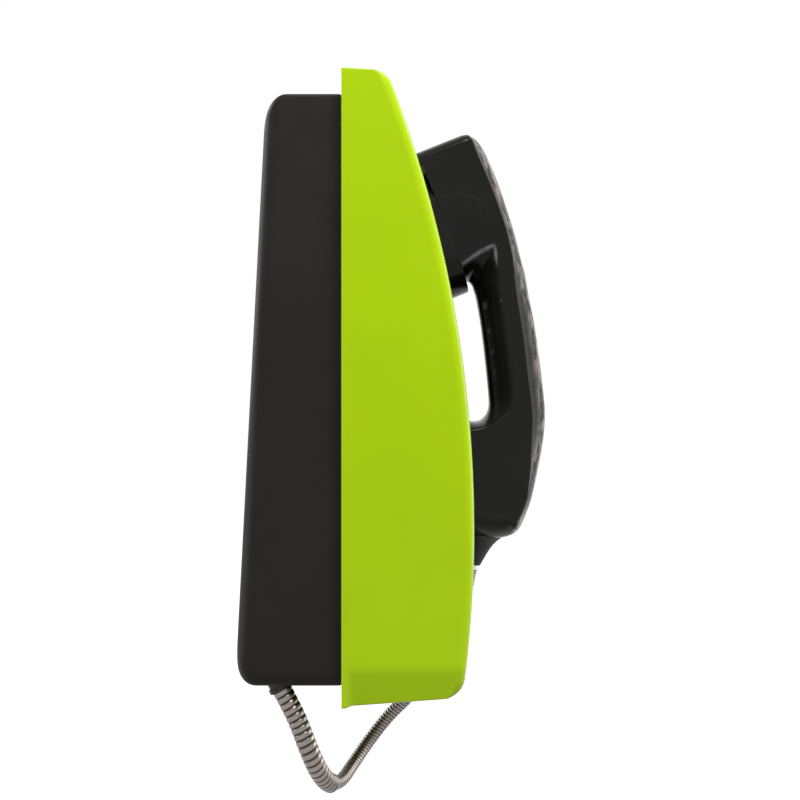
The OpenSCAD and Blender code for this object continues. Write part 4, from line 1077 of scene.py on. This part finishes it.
def key_rings(half_w, half_h, back, front):
    """Rings of a key cap from its back to the middle of its dish, as across, forward and up.

    The front edge is a quarter circle. The dish at share s of the way out is KEY_DISH * (1 - s^2)^2 deep."""
    def ring(offset, forward, share=1.0):
        corner = (max(0.9 + offset / 2, 0.4),) * 2
        outline = share * round_rectangle(half_w + offset, half_h + offset, corner, corner, 4, 5)
        return np.stack([outline[:, 0], np.full(len(outline), forward), outline[:, 1]], -1)

    turn = np.linspace(0, math.pi / 2, 7)
    rings = [ring(KEY_FLANGE, back), ring(KEY_FLANGE, back + KEY_FLANGE_T), ring(0, back + KEY_FLANGE_T)]
    rings += [ring(-KEY_STEP * (1 - math.cos(a)), front - KEY_STEP + KEY_STEP * math.sin(a)) for a in turn]
    rings += [ring(-KEY_STEP, front - KEY_DISH * (1 - s * s) ** 2, s) for s in np.linspace(0.9, 0.1, 9)]
    return np.array(rings)


def sign_mesh(sign, size):
    """The mesh of a sign as a flat outline letter, made solid, and its points in millimetres."""
    curve = bpy.data.curves.new("sign", "FONT")
    curve.body = sign
    curve.size = size
    curve.align_x, curve.align_y = "CENTER", "CENTER"
    curve.extrude = SIGN_HALF_T
    holder = bpy.data.objects.new("sign", curve)
    scene.collection.objects.link(holder)
    bpy.context.view_layer.update()
    mesh = bpy.data.meshes.new_from_object(holder.evaluated_get(bpy.context.evaluated_depsgraph_get()))
    bpy.data.objects.remove(holder)
    return mesh, places_of(mesh)


for key, sign in SIGNS.items():
    block = frame["nodes"][key]
    turn = np.array(block.matrix_world)
    x, forward, up = unlean(places_of(block.data) @ turn[:3, :3].T + turn[:3, 3])
    front = forward.max()
    face = forward > front - 0.05
    (left, right), (low, high) = ((v[face].min(), v[face].max()) for v in (x, up))
    cx, cu = (left + right) / 2, (low + high) / 2
    mesh, letters = sign_mesh(sign, STAR_SIZE if sign == "*" else DIGIT_SIZE)
    drop = (letters[:, 1].min() + letters[:, 1].max()) / 2
    rings = key_rings((right - left) / 2 + KEY_STEP, (high - low) / 2 + KEY_STEP, forward.min(), front)
    cap = smooth(closed_rings("cap_" + key, rings + [cx, 0, cu]), 50)
    stands_for(cap, key, key + "_body")
    dish = front - KEY_DISH
    letters = lean(cx + letters[:, 0], dish + SIGN_LIFT + letters[:, 2], cu + letters[:, 1] - drop)
    mesh.vertices.foreach_set("co", letters.ravel())
    mesh.update()
    stroke = link("sign_" + key[4:], mesh)
    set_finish(stroke, "component_black")
    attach(stroke, key + "_body")

# %% [markdown]
# ## Shared effects
# A few effects come back in many finishes: patches that are a little duller or lighter, a fine
# moulded grain, wear along the edges and sparse dust. Each is built once as a node group that gives
# out a mask or a height. The finishes then use it with their own values.

# %% Effect groups


def effect(name, inputs, outputs):
    """An empty node group with number inputs, a place input and number outputs."""
    tree = bpy.data.node_groups.new(name, "ShaderNodeTree")
    tree.interface.new_socket("Place", in_out="INPUT", socket_type="NodeSocketVector")
    for socket, value in inputs.items():
        tree.interface.new_socket(socket, in_out="INPUT", socket_type="NodeSocketFloat").default_value = value
    for socket in outputs:
        tree.interface.new_socket(socket, in_out="OUTPUT", socket_type="NodeSocketFloat")
    return tree, tree.nodes.new("NodeGroupInput"), tree.nodes.new("NodeGroupOutput")


def node(tree, kind, settings=None, **values):
    """Adds a node, sets its properties and fills its inputs with values or links them to outputs."""
    made = tree.nodes.new("ShaderNode" + kind)
    for key, value in (settings or {}).items():
        setattr(made, key, value)
    for key, value in values.items():
        socket = made.inputs[int(key[1:]) if key[0] == "i" and key[1:].isdigit() else key.replace("_", " ")]
        if isinstance(value, bpy.types.NodeSocket):
            tree.links.new(value, socket)
        else:
            socket.default_value = value
    return made


def feed(tree, target, **outputs):
    """Links outputs to the inputs of a node, named with underscores for spaces."""
    for key, output in outputs.items():
        tree.links.new(output, target.inputs[key.replace("_", " ")])


def maths(tree, operation, a, b=0.0, clamp=False):
    """A Math node's output."""
    return node(tree, "Math", {"operation": operation, "use_clamp": clamp}, i0=a, i1=b).outputs[0]


def ramp(tree, value, low, high, out_low=0.0, out_high=1.0):
    """A smooth Map Range from low..high to out_low..out_high."""
    return node(tree, "MapRange", {"interpolation_type": "SMOOTHSTEP"}, Value=value, From_Min=low,
                From_Max=high, To_Min=out_low, To_Max=out_high).outputs["Result"]


def stretched(tree, place, scale):
    """The place scaled by its own amount along each axis."""
    return node(tree, "Mapping", Vector=place, Scale=scale).outputs["Vector"]


def noise(tree, place, scale, **values):
    """A noise texture's value."""
    return node(tree, "TexNoise", Vector=place, Scale=scale, **values).outputs["Fac"]


patches, given, out = effect("patches", {"Scale": 20.0, "Contrast": 0.3}, ["Mask"])
cloud = noise(patches, given.outputs["Place"], given.outputs["Scale"], Detail=5.0, Roughness=0.6)
low = maths(patches, "SUBTRACT", 0.5, given.outputs["Contrast"])
high = maths(patches, "ADD", 0.5, given.outputs["Contrast"])
feed(patches, out, Mask=ramp(patches, cloud, low, high))

grain, given, out = effect("moulded_grain", {"Scale": 900.0, "Waviness": 0.5}, ["Height"])
fine = noise(grain, given.outputs["Place"], given.outputs["Scale"], Detail=2.0)
wide = noise(grain, given.outputs["Place"], 45.0, Detail=2.0)
wide_part = maths(grain, "MULTIPLY", wide, given.outputs["Waviness"])
feed(grain, out, Height=maths(grain, "ADD", fine, wide_part))

wear, given, out = effect("edge_wear", {"Width": 0.0008, "Amount": 0.5}, ["Mask"])
rounded = node(wear, "Bevel", {"samples": 6}, Radius=given.outputs["Width"])
facing = node(wear, "NewGeometry")
turned_by = node(wear, "VectorMath", {"operation": "DOT_PRODUCT"},
                 i0=rounded.outputs["Normal"], i1=facing.outputs["Normal"])
edge_part = ramp(wear, turned_by.outputs["Value"], 0.99, 0.8)
broken_part = ramp(wear, noise(wear, given.outputs["Place"], 260.0, Detail=4.0), 0.42, 0.62)
both_parts = maths(wear, "MULTIPLY", edge_part, broken_part)
feed(wear, out, Mask=maths(wear, "MULTIPLY", both_parts, given.outputs["Amount"]))

dust, given, out = effect("dust", {"Scale": 130.0, "Size": 0.1}, ["Mask"])
cells = node(dust, "TexVoronoi", Vector=given.outputs["Place"], Scale=given.outputs["Scale"])
chance = node(dust, "SeparateColor", Color=cells.outputs["Color"])
rare = maths(dust, "GREATER_THAN", chance.outputs["Red"], 0.86)
near_middle = ramp(dust, cells.outputs["Distance"], given.outputs["Size"], 0.0)
feed(dust, out, Mask=maths(dust, "MULTIPLY", rare, near_middle))

# %% [markdown]
# ## Finishes
# Every finish is a Principled shader. Its colour is mixed from a base, a second tone in soft patches,
# a paler tone on the worn edges and a little dust. Its roughness follows the same patches, and its
# grain goes through a Bump node. What is the same everywhere is set on the shader itself.

# %% Plastic, rubber and metal


def use(tree, group, place, **values):
    """Places an effect group and gives its first output."""
    made = tree.nodes.new("ShaderNodeGroup")
    made.node_tree = group
    feed(tree, made, Place=place)
    for key, value in values.items():
        made.inputs[key].default_value = value
    return made.outputs[0]


def blend_colours(tree, mask, a, b):
    """A colour mix by a mask; a and b are colours or outputs."""
    made = tree.nodes.new("ShaderNodeMix")
    made.data_type = "RGBA"
    feed(tree, made, Factor=mask)
    for index, value in ((6, a), (7, b)):
        if isinstance(value, bpy.types.NodeSocket):
            tree.links.new(value, made.inputs[index])
        else:
            made.inputs[index].default_value = (*value, 1)
    return made.outputs[2]


def object_place(tree):
    """The place on the piece, in metres."""
    return tree.nodes.new("ShaderNodeTexCoord").outputs["Object"]


def add_bump(tree, shader, height, strength, distance, **over):
    """Feeds a height to the shader's normal through a Bump node, over another normal if one is given."""
    bump = node(tree, "Bump", Strength=strength, Distance=distance, Height=height, **over)
    feed(tree, shader, Normal=bump.outputs["Normal"])


def opened(material):
    """A finish's node tree, its shader and what feeds the shader's base colour, to work on further."""
    tree = material.node_tree
    shader = tree.nodes["Principled BSDF"]
    return tree, shader, shader.inputs["Base Color"].links[0].from_socket


def finish_of(name, tone, second, rough=(0.3, 0.4), metallic=0.0, specular=0.5, worn=None, worn_by=0.4,
              dusty=0.0, patch_scale=18.0, contrast=0.25, grain_scale=900.0, grain_depth=0.02, waviness=0.4):
    """A material from two tones, a range of roughness, edge wear, dust and grain."""
    material = bpy.data.materials.new(name)
    material.use_nodes = True
    tree = material.node_tree
    shader = tree.nodes["Principled BSDF"]
    shader.inputs["Metallic"].default_value = metallic
    shader.inputs["Specular IOR Level"].default_value = specular
    place = object_place(tree)
    mask = use(tree, patches, place, Scale=patch_scale, Contrast=contrast)
    colour = blend_colours(tree, mask, tone, second)
    roughness = ramp(tree, mask, 0, 1, *rough)
    if worn:
        edge_mask = use(tree, wear, place, Amount=worn_by)
        colour = blend_colours(tree, edge_mask, colour, worn)
        roughness = maths(tree, "ADD", roughness, maths(tree, "MULTIPLY", edge_mask, 0.2), clamp=True)
    if dusty:
        specks = maths(tree, "MULTIPLY", use(tree, dust, place), dusty)
        colour = blend_colours(tree, specks, colour, (0.5, 0.48, 0.45))
        roughness = maths(tree, "ADD", roughness, maths(tree, "MULTIPLY", specks, 0.5), clamp=True)
    feed(tree, shader, Base_Color=colour, Roughness=roughness)
    add_bump(tree, shader, use(tree, grain, place, Scale=grain_scale, Waviness=waviness), grain_depth, 0.001)
    return material


FINISHES = {
    "black_abs": finish_of("satin_black", (0.0160, 0.0138, 0.0128), (0.0200, 0.0172, 0.0160), (0.4, 0.5),
                           specular=0.07, worn=(0.06, 0.055, 0.065), worn_by=0.5, dusty=0.5,
                           grain_depth=0.05),
    "green_abs": finish_of("lime_gloss", (0.372, 0.566, 0.0022), (0.396, 0.598, 0.0032), (0.2, 0.27),
                           specular=0.13, worn=(0.5, 0.66, 0.12), worn_by=0.25, dusty=0.15,
                           grain_depth=0.012, waviness=0.8),
    "rubber": finish_of("black_rubber", (0.014, 0.014, 0.015), (0.022, 0.021, 0.021), (0.5, 0.65),
                        specular=0.3, dusty=0.4, grain_depth=0.15),
    "steel": finish_of("zinc_steel", (0.50, 0.51, 0.53), (0.60, 0.59, 0.56), (0.22, 0.4), metallic=1.0,
                       worn=(0.8, 0.8, 0.8), grain_scale=1500, grain_depth=0.05),
    "tray_abs": finish_of("tray_black", (0.016, 0.016, 0.018), (0.024, 0.024, 0.025), (0.42, 0.55),
                          specular=0.35, worn=(0.08, 0.08, 0.08), dusty=0.5, grain_scale=1400,
                          grain_depth=0.3),
    "key_plastic": finish_of("key_grey", (0.36, 0.37, 0.39), (0.42, 0.43, 0.45), (0.3, 0.45),
                             worn=(0.55, 0.55, 0.56), grain_scale=1600, grain_depth=0.1),
    "silicone": finish_of("mat_silicone", (0.58, 0.58, 0.54), (0.66, 0.66, 0.61), (0.45, 0.6),
                          grain_depth=0.05),
    "nylon": finish_of("natural_nylon", (0.66, 0.63, 0.54), (0.74, 0.71, 0.63), (0.38, 0.5),
                       grain_depth=0.05),
    "component_black": finish_of("component_black", (0.016, 0.016, 0.017), (0.03, 0.03, 0.03), (0.35, 0.5),
                                 worn=(0.1, 0.1, 0.1), grain_scale=1800, grain_depth=0.15),
    "terminal_blue": finish_of("terminal_blue", (0.018, 0.11, 0.36), (0.025, 0.14, 0.44), (0.32, 0.45),
                               worn=(0.15, 0.3, 0.6), grain_depth=0.05),
    "brass": finish_of("turned_brass", (0.62, 0.42, 0.15), (0.74, 0.53, 0.22), (0.2, 0.36), metallic=1.0,
                       worn=(0.9, 0.75, 0.4), grain_scale=1500, grain_depth=0.05),
}

# %% [markdown]
# The keypad plate is brushed across: its noise is stretched along one axis, so it becomes long fine
# lines. The circuit boards are green lacquer over copper, with tracks that run in steps and a pale
# ring of tin here and there.

# %% Brushed plate and boards


def brushed_finish(name, tone, second):
    """Metal with fine lines across the phone, in its roughness and height."""
    material = finish_of(name, tone, second, (0.22, 0.36), metallic=1.0, worn=(0.52, 0.52, 0.52))
    tree, shader, _ = opened(material)
    lines = noise(tree, stretched(tree, object_place(tree), (30, 2500, 2500)), 1.0, Detail=3.0)
    feed(tree, shader, Roughness=ramp(tree, lines, 0.3, 0.7, 0.2, 0.42))
    add_bump(tree, shader, lines, 0.12, 0.0005)
    return material


def board_finish():
    """Green lacquer with brick-like tracks that show as slightly paler, raised lines."""
    material = finish_of("board_green", (0.012, 0.11, 0.045), (0.016, 0.14, 0.055), (0.25, 0.36))
    tree, shader, colour = opened(material)
    upright = (math.radians(90), 0, 0)
    flat = node(tree, "Mapping", Vector=object_place(tree), Rotation=upright).outputs["Vector"]
    tracks = node(tree, "TexBrick", {"offset": 0.37, "squash": 1.7},
                  Vector=flat, Scale=110.0, Mortar_Size=0.035)
    colour = blend_colours(tree, tracks.outputs["Fac"], colour, (0.04, 0.24, 0.09))
    dots = node(tree, "TexVoronoi", Vector=flat, Scale=210.0)
    ring = ramp(tree, dots.outputs["Distance"], 0.16, 0.12)
    feed(tree, shader, Base_Color=blend_colours(tree, ring, colour, (0.5, 0.5, 0.46)))
    add_bump(tree, shader, tracks.outputs["Fac"], 0.2, 0.0002)
    return material


FINISHES["keypad_metal"] = brushed_finish("keypad_steel", (0.34, 0.345, 0.35), (0.41, 0.41, 0.41))
FINISHES["circuit_board"] = board_finish()

# %% [markdown]
# The handset is gloss black, but its rounded back is hazed by years of hands: mottled and less clear,
# with a greyish brown painted sheen where the crown is seen at a low angle. A pale lavender grey
# highlight is painted along the ridge under the ear cup. The masks of the crown and the ridge highlight
# are attributes of the mesh. A thin clear coat gives the gloss. It is faint on the crown's clear parts
# and strongest in its hazy patches, and a low bump makes what the crown mirrors uneven.

# %% Handset gloss


def handset_finish():
    """Gloss black with a worn, mottled haze on the crown, and a painted highlight along the ridge under the
    ear cup.

    The haze is fine scratching that dulls the crown. Its greyish brown colour is painted sheen that shows
    mostly where the crown is seen at a low angle."""
    material = finish_of("gloss_black", (0.0092, 0.0090, 0.0084), (0.0122, 0.0118, 0.0110), (0.1, 0.2),
                         specular=0.012, worn=(0.06, 0.055, 0.055), worn_by=0.3, dusty=0.2,
                         grain_depth=0.008, waviness=0.9)
    tree, shader, colour = opened(material)
    roughness = shader.inputs["Roughness"].links[0].from_socket
    crown = node(tree, "Attribute", {"attribute_name": "crown"}).outputs["Fac"]
    long_place = stretched(tree, object_place(tree), (1, 1, 0.6))
    blotches = noise(tree, long_place, 130.0, Detail=6.0, Roughness=0.7, Distortion=0.15)
    haze_and_sheen = maths(tree, "MULTIPLY", ramp(tree, blotches, 0.45, 0.6), crown)
    # Painted sheen: the haze's greyish brown colour fades in where the crown is seen at a low angle.
    low_angle = ramp(tree, tree.nodes.new("ShaderNodeLayerWeight").outputs["Facing"], 0.5, 0.9, 0.05, 1)
    haze_and_sheen = maths(tree, "MULTIPLY", haze_and_sheen, low_angle)
    colour = blend_colours(tree, haze_and_sheen, colour, (0.23, 0.175, 0.165))
    # Painted highlight: a pale lavender grey along the ridge under the ear cup, broken by the blotches.
    ridge_highlight = node(tree, "Attribute", {"attribute_name": "ridge_highlight"}).outputs["Fac"]
    painted_ridge_highlight = maths(tree, "MULTIPLY", ridge_highlight, ramp(tree, blotches, 0.2, 0.5))
    colour = blend_colours(tree, painted_ridge_highlight, colour, (0.25, 0.225, 0.28))
    dulled = maths(tree, "ADD", roughness, maths(tree, "MULTIPLY", haze_and_sheen, 0.28))
    gloss = ramp(tree, maths(tree, "SUBTRACT", haze_and_sheen, crown), -1, 0, 0.04, 0.18)
    gloss = maths(tree, "ADD", gloss, maths(tree, "MULTIPLY", haze_and_sheen, 0.36))
    feed(tree, shader, Base_Color=colour, Roughness=dulled, Coat_Weight=gloss)
    shader.inputs["Coat Roughness"].default_value = 0.12
    shader.inputs["Coat IOR"].default_value = 1.5
    fine_bump = shader.inputs["Normal"].links[0].from_socket
    add_bump(tree, shader, maths(tree, "MULTIPLY", blotches, crown), 0.35, 0.0006, Normal=fine_bump)
    return material


FINISHES["handset_abs"] = handset_finish()

# %% [markdown]
# The hose's steel strip has a warm brownish grey tone, with painted shade in the grooves. The
# winding UV map gives the place across the strip as the fraction of its second coordinate, and fine
# drawn lines follow it. The bushing that the cord enters is blackened steel.

# %% Hose steel


def hose_finish():
    """Strip steel with painted shade in the grooves and drawn lines along the winding."""
    material = finish_of("hose_steel", (0.19, 0.163, 0.147), (0.27, 0.236, 0.214), (0.2, 0.34), metallic=1.0)
    tree, shader, colour = opened(material)
    winding = node(tree, "UVMap", {"uv_map": "winding"}).outputs["UV"]
    across_strip = maths(tree, "FRACT", node(tree, "SeparateXYZ", Vector=winding).outputs["Y"])
    from_groove = maths(tree, "ABSOLUTE", maths(tree, "SUBTRACT", across_strip, 0.5))
    # Painted shade: the colour darkens to near black towards the bottom of each groove.
    groove_shade = ramp(tree, from_groove, 0.2, 0.46)
    lines = noise(tree, stretched(tree, winding, (6, 14, 1)), 1.0, Detail=4.0)
    feed(tree, shader, Base_Color=blend_colours(tree, groove_shade, colour, (0.03, 0.025, 0.022)),
         Roughness=ramp(tree, lines, 0.3, 0.7, 0.16, 0.36))
    add_bump(tree, shader, lines, 0.1, 0.0004)
    return material


FINISHES["hose_steel"] = hose_finish()

OWN_FINISH = {"cord_bushing": finish_of(
    "blackened_steel", (0.022, 0.019, 0.018), (0.035, 0.031, 0.029), (0.3, 0.45), metallic=1.0,
    worn=(0.1, 0.09, 0.085), grain_scale=1500, grain_depth=0.05)}
for name, piece in frame["nodes"].items():
    piece.data.materials.clear()
    piece.data.materials.append(OWN_FINISH.get(name, FINISHES[FRAME_SLOT[name]]))
for piece in scene.objects:
    if piece.type == "MESH" and piece.name not in frame["nodes"]:
        piece.data.materials.clear()
        piece.data.materials.append(FINISHES[piece["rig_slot"]])
print("finishes: %d" % len(FINISHES))

# %% [markdown]
# ## Studio
# A pale floor lies below, and the surround is white to the eye and to mirrors. The floor is mostly
# bright by itself, and its lit part keeps a soft shadow. Large soft lamps stand high beside the phone,
# in front, behind and low behind, so that the rounded edges get narrow highlights and the flat sides
# stay plain.

# %% Floor and world
FLOOR_Z = -0.32
floor_corners = [(4 * sx, 4 * sy, FLOOR_Z) for sx, sy in ((-1, -1), (1, -1), (1, 1), (-1, 1))]
floor_mesh = mesh_from("floor", floor_corners, [(0, 1, 2, 3)])
floor = link("floor", floor_mesh)
floor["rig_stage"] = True


def for_the_eye(tree, lit, seen, output):
    """Sends one shader to the camera and to mirror and glass rays, and the lit one to all others."""
    path = tree.nodes.new("ShaderNodeLightPath")
    eye = maths(tree, "MAXIMUM", path.outputs["Is Camera Ray"], path.outputs["Is Glossy Ray"])
    eye = maths(tree, "MAXIMUM", eye, path.outputs["Is Transmission Ray"])
    mix = tree.nodes.new("ShaderNodeMixShader")
    tree.links.new(eye, mix.inputs[0])
    tree.links.new(lit, mix.inputs[1])
    tree.links.new(seen, mix.inputs[2])
    tree.links.new(mix.outputs[0], output.inputs["Surface"])


floor_paint = bpy.data.materials.new("pale_floor")
floor_paint.use_nodes = True
tree = floor_paint.node_tree
floor_shader = tree.nodes["Principled BSDF"]
floor_shader.inputs["Base Color"].default_value = (0.25, 0.25, 0.25, 1)
floor_shader.inputs["Roughness"].default_value = 0.9
spot = node(tree, "VectorMath", {"operation": "LENGTH"}, i0=object_place(tree))
far_off = ramp(tree, spot.outputs["Value"], 0.45, 1.0)
glow = node(tree, "Emission", Color=blend_colours(tree, far_off, (0.76, 0.76, 0.76), (1, 1, 1)), Strength=1.0)
matt = node(tree, "BsdfDiffuse", Color=(0.3, 0.3, 0.3, 1))
sum_of = node(tree, "AddShader", i0=glow.outputs[0], i1=matt.outputs[0])
for_the_eye(tree, floor_shader.outputs[0], sum_of.outputs[0], tree.nodes["Material Output"])
floor_mesh.materials.append(floor_paint)

world = bpy.data.worlds.new("studio")
scene.world = world
world.use_nodes = True
tree = world.node_tree
background = tree.nodes["Background"]
background.inputs["Color"].default_value = (0.93, 0.95, 1, 1)
background.inputs["Strength"].default_value = 0.11
white = node(tree, "Background", Color=(1, 1, 1, 1), Strength=1.0)
for_the_eye(tree, background.outputs[0], white.outputs[0], tree.nodes["World Output"])

# %% Lamps


def lamp(name, place, target, width, height, power, colour=(1, 1, 1)):
    """A rectangular area lamp at a place, in metres, that looks at a target."""
    data = bpy.data.lights.new(name, "AREA")
    data.shape = "RECTANGLE"
    data.size, data.size_y = width, height
    data.energy = power
    data.color = colour
    back = np.array(place, float) - np.array(target, float)
    back /= np.linalg.norm(back)
    side = np.cross([0, 0, 1.0], back)
    side /= np.linalg.norm(side)
    return placed(data, name, side, np.cross(back, side), back, place)


lamp("high_side", (-1.0, -0.25, 1.35), (0, -0.05, 0.05), 0.9, 0.9, 40)
lamp("front", (0.5, -1.5, 0.4), (0, 0, 0), 1.4, 1.4, 20)
lamp("back", (0.45, 1.0, 0.38), (0, 0, 0.05), 0.6, 0.7, 8.5, (1, 0.92, 1))
lamp("low_back", (-0.1, 1.0, -0.22), (0, 0, -0.1), 0.4, 0.12, 2.2, (0.85, 0.85, 1))
scene.view_settings.view_transform = "Standard"

# %% [markdown]
# ## Measure and finish
# The size of the dressed phone is measured.

# %% Sizes and finish
low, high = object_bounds()
